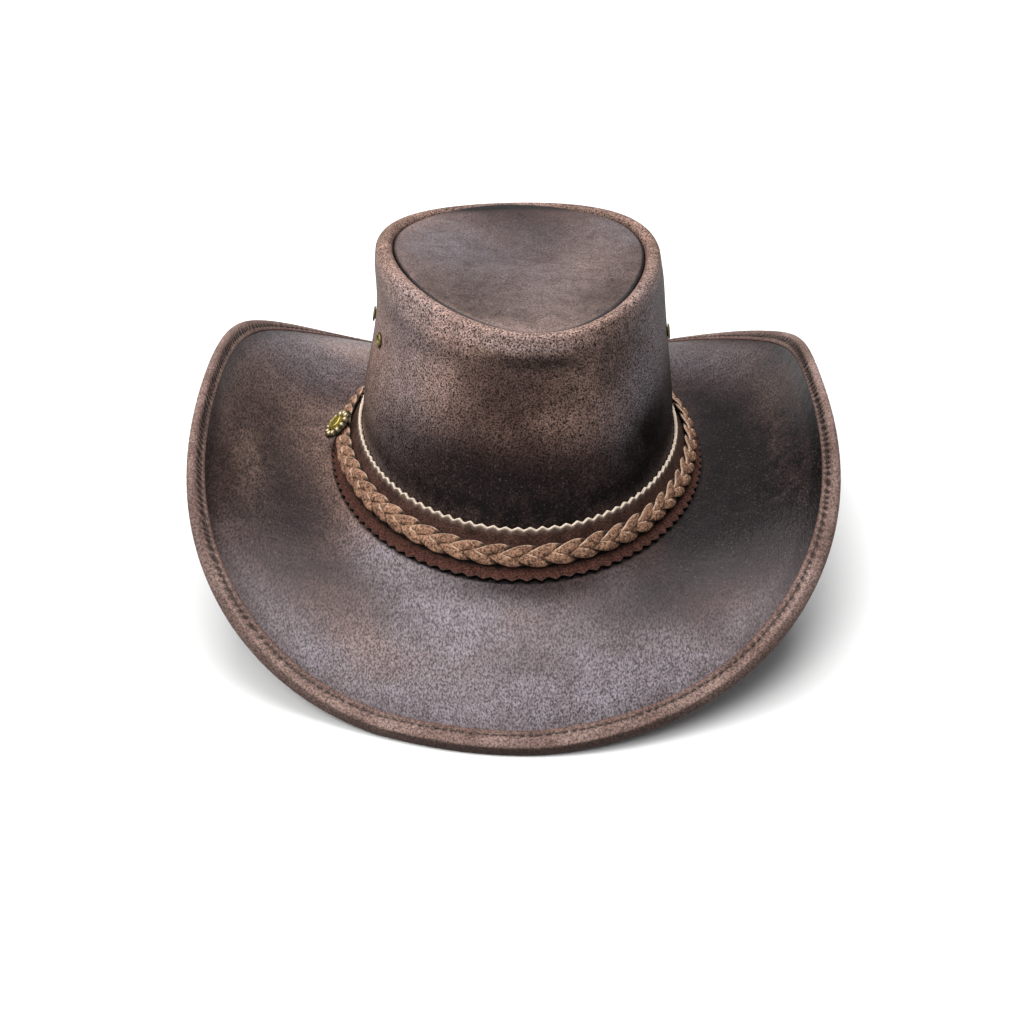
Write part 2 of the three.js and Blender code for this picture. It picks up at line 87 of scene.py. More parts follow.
# The long, low waves that hand-shaped leather keeps: how many go round the hat, how many go up the wall
# or out over the brim, their size, and where they start.
WALL_WAVES = [(3, 0.9, 0.32, 40), (5, 1.6, 0.22, 200), (8, 1.2, 0.15, 110), (13, 2.3, 0.07, 300)]
BRIM_WAVES = [(4, 0.5, 0.5, 10), (7, 0.9, 0.36, 250), (11, 1.4, 0.2, 130), (19, 2.1, 0.08, 320)]

# The brim, every 30 degrees: its width, its slope at the crown and its slope at the edge.
BRIM = {
    "width": [86.6, 84.4, 88, 88, 88, 87, 85, 88.9, 90.3, 89.4, 86.8, 84.6],
    "root": [2.2, -0.2, -4.1, -10, -3.9, 9.1, 5.1, -9.1, -6.1, -2.5, -3.7, -1.6],
    "edge": [88.7, 37.9, -19.7, -53.7, -20, 46.6, 72.4, 37.7, -52.5, -52.2, -39.1, 39.3],
}
BRIM_THICKNESS = 2.4
STANDING_DROP = -39.1
UNDER_EDGE = 1.6
FLOOR = STANDING_DROP - UNDER_EDGE

# The folded strip over the brim's edge: how far it reaches in, its section, the ridges that the stitches
# draw in it, and the stitches in their groove, which is deepest where the brim curls up.
BINDING_REACH = {"side": 7.4, "front": 9.0, "back": 8.4}
BINDING = {"seat": 0.1, "leather": 0.95, "skived": 1.8, "thin": 0.8, "roll": 1.2, "nose": 2.6, "pad": 0.22}
PUCKER = {"count": 300, "columns": 6, "slant": 0.16, "sway": 0.22}
GROOVE_DEPTH = {"side": 0.78, "front": 0.22, "back": 0.4}
GROOVE_SPREAD = {"side": 1.7, "front": 0.6, "back": 0.9}
STITCH_INSET = {"side": 3.6, "front": 1.9, "back": 2.2}
STITCH = {"share": 0.6, "radius": 0.27, "sides": 6, "rows": 7, "round": 0.96, "sunk": 0.8, "clear": 0.05}

# How far the ridges fill the groove, the shallow hollow outside it and the least thickness left. Then where
# the lip starts, how wide the pared edge is, and how dark the painted shade is in the folds and on the lip,
# where the edge turns down at the front and the back.
GROOVE = {"ridges": 0.7, "drawn": 0.3, "outwards": 1.6, "spread": 1.9, "least": 0.02}
LIP_START = 0.82
PARED_WIDTH = 2.2
FOLD_DARK = {"side": 1.0, "front": 0.55, "back": 0.7}
LIP_DARK = {"side": 0.0, "front": 1.0, "back": 0.6}

# The suede band. Its top edge lies on the wall and its low edge on the brim. Between them it bends, just
# behind the braid.
BAND = {"thickness": 1.5, "teeth": 104, "columns": 12, "top": 19.4, "low": 8.9}

# The depth of its teeth at both edges, how round they are, and how far their lengths differ.
TOOTH = {"top": 1.4, "low": 1.9, "rounding": 1.6, "round_share": 0.35, "shortest": 0.8, "longest": 1.1}
BAND_SEAT = {"top": 0.4, "low": 0.6, "braid": 0.3}

# The braid: its middle, out and up from the crown's foot, the lean of its face, and its three laces.
BRAID = {"out": 4.7, "up": 10.7, "lean": 30.0, "back": 2.5}
PLAIT = {"periods": 18, "swing": 2.75, "weave": 1.05, "rock": 0.3}
LACE = {"width": 4.7, "thickness": 1.3, "crown": 0.55, "uneven": 0.09, "columns": 72, "sides": 22}

# How dark a lace is painted where it dives under the next, from what depth of the dive, and along its
# lower edge: painted shade.
LACE_DARK = {"dive": 0.9, "from": 0.45, "edge": 0.85}

# At the sides the braid lies flatter and higher, and the band's low edge further out: turn, changes of the
# lean, of the braid's place out and up and of the band's low edge, and how far they spread.
SIDE_SHIFTS = [
    {"turn": 195, "lean": 13.5, "out": -1.0, "up": 2.8, "low": 0.0, "wide": 32},
    {"turn": 350, "lean": 8.0, "out": 0.2, "up": 1.5, "low": 1.5, "wide": 32},
]

# The flower stud on the braid at the wearer's right, which faces a little forwards: its place and size, its
# plate, its round petals and its boss.
CONCHO = {"turn": 179.0, "facing": 186.0, "lean": 48.0, "radius": 8.9, "petals": 12}
STUD_FACE = {"lift": 3.6, "plate": 0.75}
PETAL = {"middle": 6.4, "long": 1.75, "wide": 1.5, "height": 1.9}
BOSS = {"radius": 4.5, "height": 2.0, "ring": 3.6}

# The vent eyelets: their height on the wall, how far they sit from the hat's side line, their radii, how
# they sit on the leather, and how deep the drill for their holes reaches in and out.
EYELET = {"height": 0.652, "spread": 9.8, "flange": 3.8, "barrel": 2.5, "hole": 1.9}
EYELET_SEAT = {"face": 0.9, "back": 0.5, "clear": 0.4}
DRILL_DEPTHS = (-6.0, 4.0)
EYELETS = {
    "eyelet_left_front": -EYELET["spread"],
    "eyelet_left_back": EYELET["spread"],
    "eyelet_right_back": 180 - EYELET["spread"],
    "eyelet_right_front": 180 + EYELET["spread"],
}

# The camera, fitted to the photograph together with the hat's shape.
CAMERA = {"azimuth": -1.73, "elevation": 32.785, "distance": 733.4, "lens": 50.27, "roll": 0.525}
AIM = {"right": -1.539, "up": -30.73}

# The lights and the floor, in metres: softboxes, and a spot that keeps the floor behind the hat white.
SOFTBOXES = {
    "overhead": {"place": (0.0, 0.25, 1.3), "aim": (0.0, 0.1, 0.05), "size": (1.1, 1.3), "radiance": 5.85},
    "front": {"place": (-0.5, -1.0, 1.3), "aim": (0.0, 0.0, 0.1), "size": (0.8, 0.8), "radiance": 6.4},
    "left": {"place": (-1.2, -0.2, 0.95), "aim": (0.0, 0.0, 0.08), "size": (0.8, 0.8), "radiance": 4.5},
}
FLOOR_WASH = {"place": (0.0, 1.7, 1.6), "watts": 160.0, "cone": 80, "radius": 0.3}
FLOOR_HALF = 4.0

# Columns round the hat and rows along each stretch, enough for smooth outlines and fine dents.
WALL_GRID = {"columns": 480, "outside": 96, "rim": 26, "lip": 5, "inside": 40}
TIP_GRID = {"columns": 300, "middle": 52, "edge": 18}
BRIM_GRID = {"columns": 480, "open": 84, "edge": 3}
BINDING_GRID = {"top": 20, "nose": 13, "under": 12}
EYELET_GRID = {"columns": 40, "roll": 13, "barrel": 4, "drill": 24}

# Seeds of the random draws, which make teeth and laces a little uneven.
SEEDS = {"top_teeth": 3, "low_teeth": 8, "laces": 11}

UP = np.array([0.0, 0.0, 1.0])
TURN_STEP = 0.5
AWAY_STEP = 0.5
SHARE_STEP = 0.01


def bell(distance, spread):
    """A bell curve, 1 in the middle and 0.6 at one spread away."""
    return np.exp(-0.5 * (distance / spread) ** 2)


def turn_between(first, second):
    """The shorter way round from one turn to another, in degrees."""
    return (first - second + 540.0) % 360.0 - 180.0


def smooth(value, low, high):
    """Rises from 0 at low to 1 at high, level at both ends."""
    share = np.clip((value - low) / (high - low), 0.0, 1.0)
    return share * share * (3 - 2 * share)


def around_hat(turn, height):
    """A height round the hat: side + (end - side) sin(turn)^2, where the end is the front or the back."""
    along = np.sin(np.radians(turn))
    end = np.where(along < 0, height["front"], height["back"])
    return height["side"] + (end - height["side"]) * along**2


def oval_point(oval, turn):
    """x = a cos t (1 + egg sin t) and y = b sin t, turned by a few degrees and shifted."""
    t = np.radians(turn)
    x = oval["half_width"] * np.cos(t) * (1 + oval["egg"] * np.sin(t))
    y = oval["half_length"] * np.sin(t)
    cosine = math.cos(math.radians(oval["turn"]))
    sine = math.sin(math.radians(oval["turn"]))
    turned = [x * cosine - y * sine + oval["side"], x * sine + y * cosine + oval["back"], 0 * x]
    return np.stack(turned, -1)


def unit(vectors):
    """Each vector divided by its length."""
    return vectors / np.linalg.norm(vectors, axis=-1, keepdims=True)


def outwards(oval, turn):
    """The level direction straight out of an oval: its tangent turned by a quarter."""
    tangent = oval_point(oval, turn + TURN_STEP) - oval_point(oval, turn - TURN_STEP)
    return unit(np.stack([tangent[..., 1], -tangent[..., 0], 0 * tangent[..., 0]], -1))


def wall_height(turn):
    """The height of the wall over the crown's foot."""
    return around_hat(turn, TOP_HEIGHT) - around_hat(turn, FOOT_HEIGHT)


def waves(rows, turn, along):
    """The sum of size * cos(round * turn + start) * cos(2 pi * along-waves * along + 2 start)."""
    total = 0.0
    for times, over, size, start in rows:
        start = math.radians(start)
        upwards = np.cos(2 * math.pi * over * along + 2 * start)
        total = total + size * np.cos(times * np.radians(turn) + start) * upwards
    return total


def bells(rows, first, second, between):
    """The sum of size * bell * bell over rows of a place both ways, a spread both ways and a size. Between
    tells how far apart two first places are."""
    total = np.zeros(np.broadcast(first, second).shape)
    for place, along, wide, long, size in rows:
        total = total + size * bell(between(first, place), wide) * bell(second - along, long)
    return total


def plain_wall(turn, share):
    """A straight line from the foot oval to the top oval, at a share of the way up."""
    foot = oval_point(FOOT, turn) + around_hat(turn, FOOT_HEIGHT)[..., None] * UP
    top = oval_point(TOP, turn) + around_hat(turn, TOP_HEIGHT)[..., None] * UP
    return foot + (top - foot) * share[..., None]


def wall_point(turn, share):
    """The plain wall pushed out by each dent's two bell curves and by the long waves, which fade out at
    the foot and towards the rim."""
    fading = smooth(share, 0.22, 0.5) * (1 - 0.7 * smooth(share, 0.85, 1.0))
    push = waves(WALL_WAVES, turn, share) * fading + bells(WALL_DENTS, turn, share, turn_between)
    return plain_wall(turn, share) + outwards(TOP, turn) * push[..., None]


def read_table(table, column, turn):
    """A closed cubic B-spline through a column of evenly spaced values."""
    values = np.array(table[column], float)
    place = (turn / 360.0 * len(values)) % len(values)
    row = np.floor(place).astype(int)
    part = place - row
    before, here, after, last = (values[(row + step) % len(values)] for step in (-1, 0, 1, 2))
    total = (1 - part) ** 3 * before + (3 * part**3 - 6 * part**2 + 4) * here
    total = total + (-3 * part**3 + 3 * part**2 + 3 * part + 1) * after + part**3 * last
    return total / 6


def brim_point(turn, distance):
    """An arc out from the crown's foot, from its slope at the crown to its slope at the edge. At a
    distance d the chord of an arc is d sin(h) / h long and slopes by the mean of its two end slopes,
    where h is half the turn of the arc. Under the crown wall the brim is level."""
    width = read_table(BRIM, "width", turn)
    root = np.radians(read_table(BRIM, "root", turn))
    edge = np.radians(read_table(BRIM, "edge", turn))
    half = (edge - root) * distance / width / 2
    chord = distance * np.sinc(half / np.pi)
    out = np.where(distance > 0, chord * np.cos(root + half), distance)
    rise = np.where(distance > 0, chord * np.sin(root + half), 0.0)
    foot = oval_point(FOOT, turn) + around_hat(turn, FOOT_HEIGHT)[..., None] * UP
    return foot + outwards(FOOT, turn) * out[..., None] + UP * rise[..., None]


def standing_brim(turn, distance):
    """The brim pressed up to the standing level where its edge would hang lower, with its long waves."""
    width = read_table(BRIM, "width", turn)
    pressed = np.maximum(0.0, STANDING_DROP - brim_point(turn, width)[..., 2])
    share = np.maximum(0.0, distance / width)
    lift = pressed * share**2 + waves(BRIM_WAVES, turn, share) * smooth(share, 0.12, 0.4)
    return brim_point(turn, distance) + UP * lift[..., None]


def surface_frame(surface, turn, along, step):
    """The unit direction away from the crown's foot, and the normal, from small steps both ways."""
    around = surface(turn + TURN_STEP, along) - surface(turn - TURN_STEP, along)
    away = unit(surface(turn, along + step) - surface(turn, along - step))
    return away, unit(np.cross(away, around))


def on_wall(turn, share, offset):
    """A point of the wall moved out along its normal."""
    normal = surface_frame(wall_point, turn, share, SHARE_STEP)[1]
    return wall_point(turn, share) - normal * np.asarray(offset)[..., None]


def on_brim(turn, distance, offset, beyond=0.0):
    """A point of the brim's middle surface moved up along its normal and out along its slope."""
    away, normal = surface_frame(standing_brim, turn, distance, AWAY_STEP)
    moved = standing_brim(turn, distance) + normal * np.asarray(offset)[..., None]
    return moved + away * np.asarray(beyond)[..., None]


def even_turns(count):
    """Turns that cut the crown's foot into equal lengths, by reading its summed length backwards."""
    turn = np.linspace(0, 360, 2881)
    steps = np.linalg.norm(np.diff(oval_point(FOOT, turn), axis=0), axis=1)
    length = np.concatenate([[0], np.cumsum(steps)])
    return np.interp(np.arange(count) * length[-1] / count, length, turn)


def grid(turns, rows):
    """Turns and row values spread over a grid of rows by columns."""
    return np.broadcast_arrays(turns[None, :], np.asarray(rows, float)[:, None])


def ring_faces(rows, columns, closed):
    """Quads between neighbouring rows and columns. Columns close on themselves, and rows if closed."""
    row = np.arange(rows if closed else rows - 1)[:, None]
    column = np.arange(columns)[None, :]
    after_row = (row + 1) % rows
    after_column = (column + 1) % columns
    corners = np.broadcast_arrays(
        row * columns + column,
        row * columns + after_column,
        after_row * columns + after_column,
        after_row * columns + column,
    )
    return np.stack(corners, -1).reshape(-1, 4)


def ring_surface(points, **values):
    """A closed ring from a grid of points, rows by columns. Each value is a number for every point."""
    rows, columns = points.shape[:2]
    flat = {name: np.broadcast_to(value, (rows, columns)).ravel() for name, value in values.items()}
    return {"points": points.reshape(-1, 3), "faces": [ring_faces(rows, columns, True)], "values": flat}


def capped_surface(points, first, last, **values):
    """A closed skin from a grid of points whose two ends are closed as fans to a first and a last point."""
    rows, columns = points.shape[:2]
    column = np.arange(columns)
    after = (column + 1) % columns
    start, end = rows * columns, rows * columns + 1
    base = (rows - 1) * columns
    fans = [np.stack([np.full(columns, start), after, column], -1)]
    fans.append(np.stack([np.full(columns, end), base + column, base + after], -1))
    flat = {}
    for name, value in values.items():
        spread = np.broadcast_to(value, (rows, columns))
        flat[name] = np.concatenate([spread.ravel(), [spread[0].mean(), spread[-1].mean()]])
    skin = np.concatenate([points.reshape(-1, 3), [first], [last]])
    return {"points": skin, "faces": [ring_faces(rows, columns, False), *fans], "values": flat}


def facing_out(surface):
    """Turns every face round if the skin's signed volume is below zero."""
    points = surface["points"]
    volume = 0.0
    for faces in surface["faces"]:
        for corner in range(1, faces.shape[1] - 1):
            a, b, c = points[faces[:, 0]], points[faces[:, corner]], points[faces[:, corner + 1]]
            volume += np.einsum("ij,ij->", a, np.cross(b, c))
    if volume < 0:
        surface["faces"] = [faces[:, ::-1] for faces in surface["faces"]]
    return surface


def joined(surfaces):
    """Several closed skins in one mesh, each with its faces outwards."""
    start = 0
    points, faces, values = [], [], {}
    for surface in map(facing_out, surfaces):
        points.append(surface["points"])
        faces.extend(part + start for part in surface["faces"])
        for name, value in surface["values"].items():
            values.setdefault(name, []).append(value)
        start += len(surface["points"])
    flat = {name: np.concatenate(parts) for name, parts in values.items()}
    return {"points": np.concatenate(points), "faces": faces, "values": flat}


def new_object(name, data):
    """An object at the origin with its data, linked into the scene."""
    made = bpy.data.objects.new(name, data)
    bpy.context.scene.collection.objects.link(made)
    return made


def new_mesh(name, surfaces):
    """Several closed skins as one mesh in the part's frame, with their values as attributes."""
    whole = joined(surfaces)
    mesh = bpy.data.meshes.new(name)
    corners = [corner for part in whole["faces"] for corner in part.tolist()]
    mesh.from_pydata((whole["points"] + HAT_PLACE) * MM, [], corners)
    for key, value in whole["values"].items():
        layer = mesh.attributes.new(key, "FLOAT", "POINT")
        layer.data.foreach_set("value", value.astype(np.float32))
    mesh.shade_smooth()
    return mesh


def make_piece(name, surfaces, material, slot, *nodes):
    """Makes one piece of the hat, says what it rides on, and hides the parts that it stands for."""
    mesh = new_mesh(name, surfaces)
    mesh.materials.append(material)
    piece = new_object(name, mesh)
    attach(piece, "root")
    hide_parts(*nodes)
    return piece


# The three tones that hand and weather left, with painted light in them. The worn tone lightens the
# shoulder, the rim and its crest, partly as wear and partly as painted highlight. The dark tone paints shade
# inside the crown and down the rim's lip, in the tip's seam and under the band's teeth, and dirt along the
# hem. The third tone is a grey wax haze and a painted sheen. The brim's underside has the top's stains more
# faintly and turned round. Then the stains by tone: place both ways, spread both ways, and strength. On the
# wall and the brim a place is a turn and a share of the way up or out, on the tip x and y.
TONES = ("worn", "dark", "bloom_and_sheen")
# Lightening of the shoulder, the rim and its crest: partly wear, partly painted highlight.
WEAR_AND_HIGHLIGHT = {"shoulder": 0.8, "rim": 0.32, "crest": 0.25}
# Painted shade inside the crown and down the rim's lip, in the tip's seam and under the band's teeth.
RECESS_SHADE = {"inside": 0.9, "seam": 0.95, "teeth": 0.9}
HEM_DIRT = {"side": 0.6, "front": 0.06, "back": 0.1}
UNDERSIDE = {"faint": 0.6, "turned": 140}
WALL_STAINS = {
    # The rows at 241 and 298 high on the front shoulder are partly wear and partly painted highlight.
    "worn": [
        (331, 0.72, 10, 0.2, 0.25), (225, 0.71, 11, 0.11, 0.67), (254, 0.57, 7, 0.04, 0.13),
        (277, 0.63, 6, 0.04, 0.3), (193, 0.52, 14, 0.22, 1.1), (196, 0.12, 130, 0.1, 1.2),
        (241, 0.92, 26, 0.03, 1.2), (298, 0.91, 13, 0.23, 1.11), (120, 0.7, 22, 0.14, 0.5),
        (60, 0.55, 16, 0.12, 0.45),
    ],
    # The rows at 262 just under the front shoulder, and at 268, 279 and 262 low on the front wall, are partly
    # dark stain and partly painted shade. The row at 324 is painted shade in a shallow fold.
    "dark": [
        (268, 0.14, 52, 0.09, 1), (262, 0.892, 16, 0.027, 1.05), (279, 0.25, 78, 0.04, 0.71),
        (324, 0.39, 9, 0.1, 1.07), (300, 0.86, 14, 0.19, 0.69), (262, 0.37, 50, 0.1, 1),
        (90, 0.22, 50, 0.13, 0.7), (20, 0.35, 26, 0.2, 0.5), (51, 0.97, 9, 0.07, 0.9),
        (111, 0.97, 9, 0.07, 0.9), (351, 0.85, 9, 0.07, 0.9),
    ],
    # The row at 262 high on the front shoulder is partly grey haze and partly painted highlight.
    "bloom_and_sheen": [
        (262, 0.95, 20, 0.022, 0.5), (323, 0.58, 14, 0.3, 1.2), (210, 0.6, 14, 2.63, 0.47),
        (90, 0.6, 30, 0.2, 0.4),
    ],
}
BRIM_STAINS = {
    "worn": [
        (243, 0.65, 7, 0.09, 0.47), (173, 0.13, 11, 0.55, 0.31), (194, 0.62, 7, 0.07, 1.05),
        (129, 0.62, 5, 0.15, 0.84), (352, 0.64, 17, 0.07, 0.73), (110, 0.35, 12, 0.12, 0.5),
        (218, -0.06, 29, 0.14, 1.05),
    ],
    "dark": [
        (301, 0.4, 13, 0.12, 0.84), (271, 0.15, 16, 0.07, 0.86), (199, 0.54, 24, 0.22, 0.9),
        (5, 0.44, 26, 0.29, 0.74), (342, 0.74, 16, 0.13, 0.79), (75, 0.75, 16, 0.14, 0.5),
        (323, 0.46, 7, 0.32, 1.2), (333, 0.39, 16, 0.17, 1.2), (1, 0.29, 16, 0.08, 1.2),
    ],
    # These rows paint a grey sheen of reflected light on the front of the brim and at its back, over the
    # wax's own grey haze.
    "bloom_and_sheen": [
        (233, 0.14, 10, 0.11, 0.97), (256, 0.38, 12, 0.24, 1.05), (276, 0.84, 31, 0.11, 0.75),
        (233, 0.82, 8, 0.1, 0.55), (294, 0.53, 4, 0.25, 0.62), (140, 0.87, 12, 0.48, 0.49),
        (41, 0.64, 17, 0.18, 0.4), (90, 0.5, 30, 0.25, 0.5), (281, 0.59, 5, 0.19, 0.8),
        (277, 0.71, 8, 0.06, 0.79),
    ],
}
TIP_STAINS = {
    "worn": [
        (-38, -55, 83, 28, 1.03), (38, -6, 12, 33, 1.03), (-60, 63, 12, 24, 0.79),
    ],
    # The rows at (-27, -29) and (47, -45) are painted shade in the tip's two front hollows.
    "dark": [
        (-27, -29, 27, 20, 0.65), (47, -45, 21, 54, 0.78), (17, 39, 19, 20, 0.44),
        (-14, -58, 25, 14, 0.47), (-24, 70, 27, 4, 1.19), (34, 82, 18, 10, 1.14),
        (-12, 58, 9, 16, 0.28),
    ],
    "bloom_and_sheen": [
        (-38, 25, 18, 28, 0.49), (6, -26, 35, 35, 0.56), (52, 30, 21, 22, 0.59),
    ],
}


def stains(rows, turn, along):
    """The soft oval stains of one tone: the sum s of their bells, which nears 1 softly as
    s / (1 + s^4)^(1/4)."""
    total = bells(rows, turn, along, turn_between)
    return total / (1 + total**4) ** 0.25


def shoulder(turn):
    """The share of the wall's height where it starts to roll over into the rim."""
    return 1 - RIM["height"] / wall_height(turn)


def rim_inside(turn):
    """The inner side of the rolled rim, a rim's width in from the wall before it is dented."""
    return plain_wall(turn, shoulder(turn)) - outwards(TOP, turn) * RIM["width"]


def crown_side(material):
    """One closed ring: up the outside of the wall, over the rim as half an ellipse, down its lip, and down
    the inside at a leather's thickness. The shoulder and the rim are lighter, partly from wear and partly as
    painted highlight, and the lip and the inside are darkened with painted shade."""
    turns = np.linspace(0, 360, WALL_GRID["columns"], endpoint=False)
    bottom = (BRIM_THICKNESS / 2 + WALL_CLEAR) / wall_height(turns)
    lip = 1 - (RIM["height"] + RIM["lip"]) / wall_height(turns)

    turn, share = grid(turns, np.linspace(0, 1, WALL_GRID["outside"]))
    outer_share = bottom + (shoulder(turns) - bottom) * share
    outer = wall_point(turn, outer_share)

    arc = grid(turns, np.linspace(0, np.pi, WALL_GRID["rim"])[1:])[1]
    start, end = wall_point(turns, shoulder(turns)), rim_inside(turns)
    across = (1 - np.cos(arc)) / 2
    rim = start + (end - start) * across[..., None] + UP * (RIM["height"] * np.sin(arc))[..., None]
    fold = end - np.linspace(0, RIM["lip"], WALL_GRID["lip"])[1:, None, None] * UP

    turn_in, share_in = grid(turns, np.linspace(1, 0.04, WALL_GRID["inside"]))
    inner = on_wall(turn_in, bottom + (lip - bottom) * share_in, -WALL)
    foot = (outer[0] - outwards(FOOT, turns) * WALL)[None]

    points = np.concatenate([outer, rim, fold, inner, foot])
    values = {key: np.zeros(points.shape[:2]) for key in (*TONES, "rough_side")}
    rim_end = len(outer) + len(rim)
    for tone in TONES:
        values[tone][: len(outer)] = stains(WALL_STAINS[tone], turn, outer_share)
        edge = stains(WALL_STAINS[tone], turns, shoulder(turns))
        values[tone][len(outer) : rim_end] = edge * np.cos(arc / 2) ** 2
    # Painted highlight, partly wear, on the shoulder, the rim and its crest.
    values["worn"][: len(outer)] += WEAR_AND_HIGHLIGHT["shoulder"] * smooth(outer_share, 0.93, 0.985)
    values["worn"][len(outer) : rim_end] += WEAR_AND_HIGHLIGHT["rim"] + WEAR_AND_HIGHLIGHT["crest"] * np.sin(arc)
    # Painted shade down the rim's lip and on the inside of the wall.
    values["dark"][rim_end:] = RECESS_SHADE["inside"]
    values["rough_side"][rim_end + len(fold) :] = 1.0
    return make_piece("crown_wall", [ring_surface(points, **values)], material, "leather", "crown_side")


def tip_point(turn, share):
    """From the tip's middle to its edge inside the rim. The height blends from the middle's to the edge's,
    the dents' bell curves are added, and the last stretch rolls down into the seam."""
    edge = rim_inside(turn) - outwards(TOP, turn) * TIP["gap"]
    rise = TIP_BACK["rise"] * bell(turn_between(turn, 90), TIP_BACK["spread"])
    edge_height = around_hat(turn, TOP_HEIGHT) - TIP["inset"] + rise
    level = (TOP_HEIGHT["front"] + TOP_HEIGHT["back"]) / 2 - TIP["inset"] + TIP["dome"]
    middle = np.array([TOP["side"], TOP["back"], 0.0])
    flat = middle + (edge * [1, 1, 0] - middle) * share[..., None]
    height = level + (edge_height - level) * smooth(share, 0, 1)
    dents = bells(TIP_DENTS, flat[..., 0], flat[..., 1], np.subtract)
    height = height + (1 - share ** TIP["fade"]) * dents
    roll = np.clip((share - TIP_ROLL["start"]) / (1 - TIP_ROLL["start"]), 0, 1)
    height = height - TIP_ROLL["depth"] * (1 - np.sqrt(1 - roll**2 * TIP_ROLL["round"]))
    return flat + UP * height[..., None]


def crown_tip(material):
    """A closed plate: rings from the middle out on top, and back to the middle a thickness lower. Painted
    shade darkens its edge in the seam round it."""
    turns = np.linspace(0, 360, TIP_GRID["columns"], endpoint=False)
    outer_ring = 0.9
    inner_shares = np.linspace(0, outer_ring, TIP_GRID["middle"])[1:]
    turn, share = grid(turns, [*inner_shares, *np.linspace(outer_ring, 1, TIP_GRID["edge"])[1:]])
    top = tip_point(turn, share)
    rows = np.concatenate([top, top[::-1] - UP * TIP["thickness"]])
    centre = tip_point(turns[:1], np.zeros(1))[0]
    zeros = np.zeros(share.shape)
    values = {"rough_side": np.concatenate([zeros, zeros + 1])}
    for tone in TONES:
        upper = bells(TIP_STAINS[tone], top[..., 0], top[..., 1], np.subtract)
        if tone == "dark":
            # Painted shade in the seam round the tip.
            upper = upper + RECESS_SHADE["seam"] * smooth(share, 0.965, 1.0)
        values[tone] = np.concatenate([np.minimum(upper, 1), zeros])
    surface = capped_surface(rows, centre, centre - UP * TIP["thickness"], **values)
    return make_piece("crown_top", [surface], material, "leather", "crown_tip")


def brim(material):
    """A closed ring: out over the top of the brim and back in underneath. Its underside has the top's stains
    more faintly, at other places. Dirt gathers along the binding, and painted shade lies under the band's
    teeth."""
    turns = np.linspace(0, 360, BRIM_GRID["columns"], endpoint=False)
    width = read_table(BRIM, "width", turns)
    under_wall, near_edge = -0.03, 0.97
    open_shares = np.linspace(under_wall, near_edge, BRIM_GRID["open"])
    turn, share = grid(turns, [*open_shares, *np.linspace(near_edge, 1, BRIM_GRID["edge"])[1:]])
    distance = np.where(share < 0, -share / under_wall * WALL, share * width)
    half = BRIM_THICKNESS / 2
    points = np.concatenate([on_brim(turn, distance, half), on_brim(turn, distance, -half)[::-1]])
    values = {"rough_side": 0.0}
    for tone in TONES:
        upper = stains(BRIM_STAINS[tone], turn, distance / width)
        elsewhere = (turn + UNDERSIDE["turned"]) % 360
        lower = UNDERSIDE["faint"] * stains(BRIM_STAINS[tone], elsewhere, distance / width)
        values[tone] = np.concatenate([upper, lower[::-1]])
    hem = smooth(distance - binding_start(turns), -9, -0.5) * around_hat(turns, HEM_DIRT)
    # Dirt along the hem, and painted shade just outside the band's low edge, under its teeth.
    under_teeth = BAND["low"] + side_shift(turns, "low") + 2.2 - distance
    values["dark"][: len(share)] += hem + RECESS_SHADE["teeth"] * smooth(under_teeth, 0, 1.6)
    return make_piece("brim_leather", [ring_surface(points, **values)], material, "leather", "brim")


def binding_start(turn):
    """How far out from the crown's foot the folded strip starts."""
    return read_table(BRIM, "width", turn) - around_hat(turn, BINDING_REACH)


def pucker(turn, inwards):
    """Slanting ridges across the strip, (0.5 + 0.5 cos)^1.3 of a phase that sways round the edge."""
    sway = PUCKER["sway"] * (np.sin(np.radians(37 * turn) + 1.3) + np.sin(np.radians(61 * turn)))
    phase = PUCKER["count"] * turn / 360.0 + PUCKER["slant"] * inwards + sway
    size = 0.8 + 0.2 * np.sin(np.radians(23 * turn) + 0.6) * np.sin(np.radians(9 * turn))
    return size * (0.5 + 0.5 * np.cos(2 * np.pi * phase)) ** 1.3


def strip_face(turn, inwards):
    """How far the strip's face lies from the brim's middle surface, and how deep it is sunk, from 0 to 1.
    Its pared edge rises to full thickness, a bell curve sinks it along the stitches, the ridges cross that
    groove, and a half sine pads it out towards the brim's edge."""
    pared = 1 - BINDING["thin"] * (1 - np.clip(inwards / BINDING["skived"], 0, 1)) ** 2
    inset = around_hat(turn, STITCH_INSET)
    outside = np.clip((inwards - inset) / (around_hat(turn, BINDING_REACH) - inset), 0, 1)
    depth = around_hat(turn, GROOVE_DEPTH)
    ridge = pucker(turn, inwards)
    groove = bell(inwards - inset, around_hat(turn, GROOVE_SPREAD)) * (1 - GROOVE["ridges"] * ridge)
    drawn = GROOVE["drawn"] * bell(inwards - inset - GROOVE["outwards"], GROOVE["spread"]) * (1 - ridge)
    sunk = np.clip(groove + drawn, 0, 1)
    face = BINDING["seat"] + BINDING["leather"] * pared + BINDING["pad"] * np.sin(np.pi * outside)
    return BRIM_THICKNESS / 2 + np.maximum(face - depth * sunk * np.sqrt(pared), GROOVE["least"]), sunk


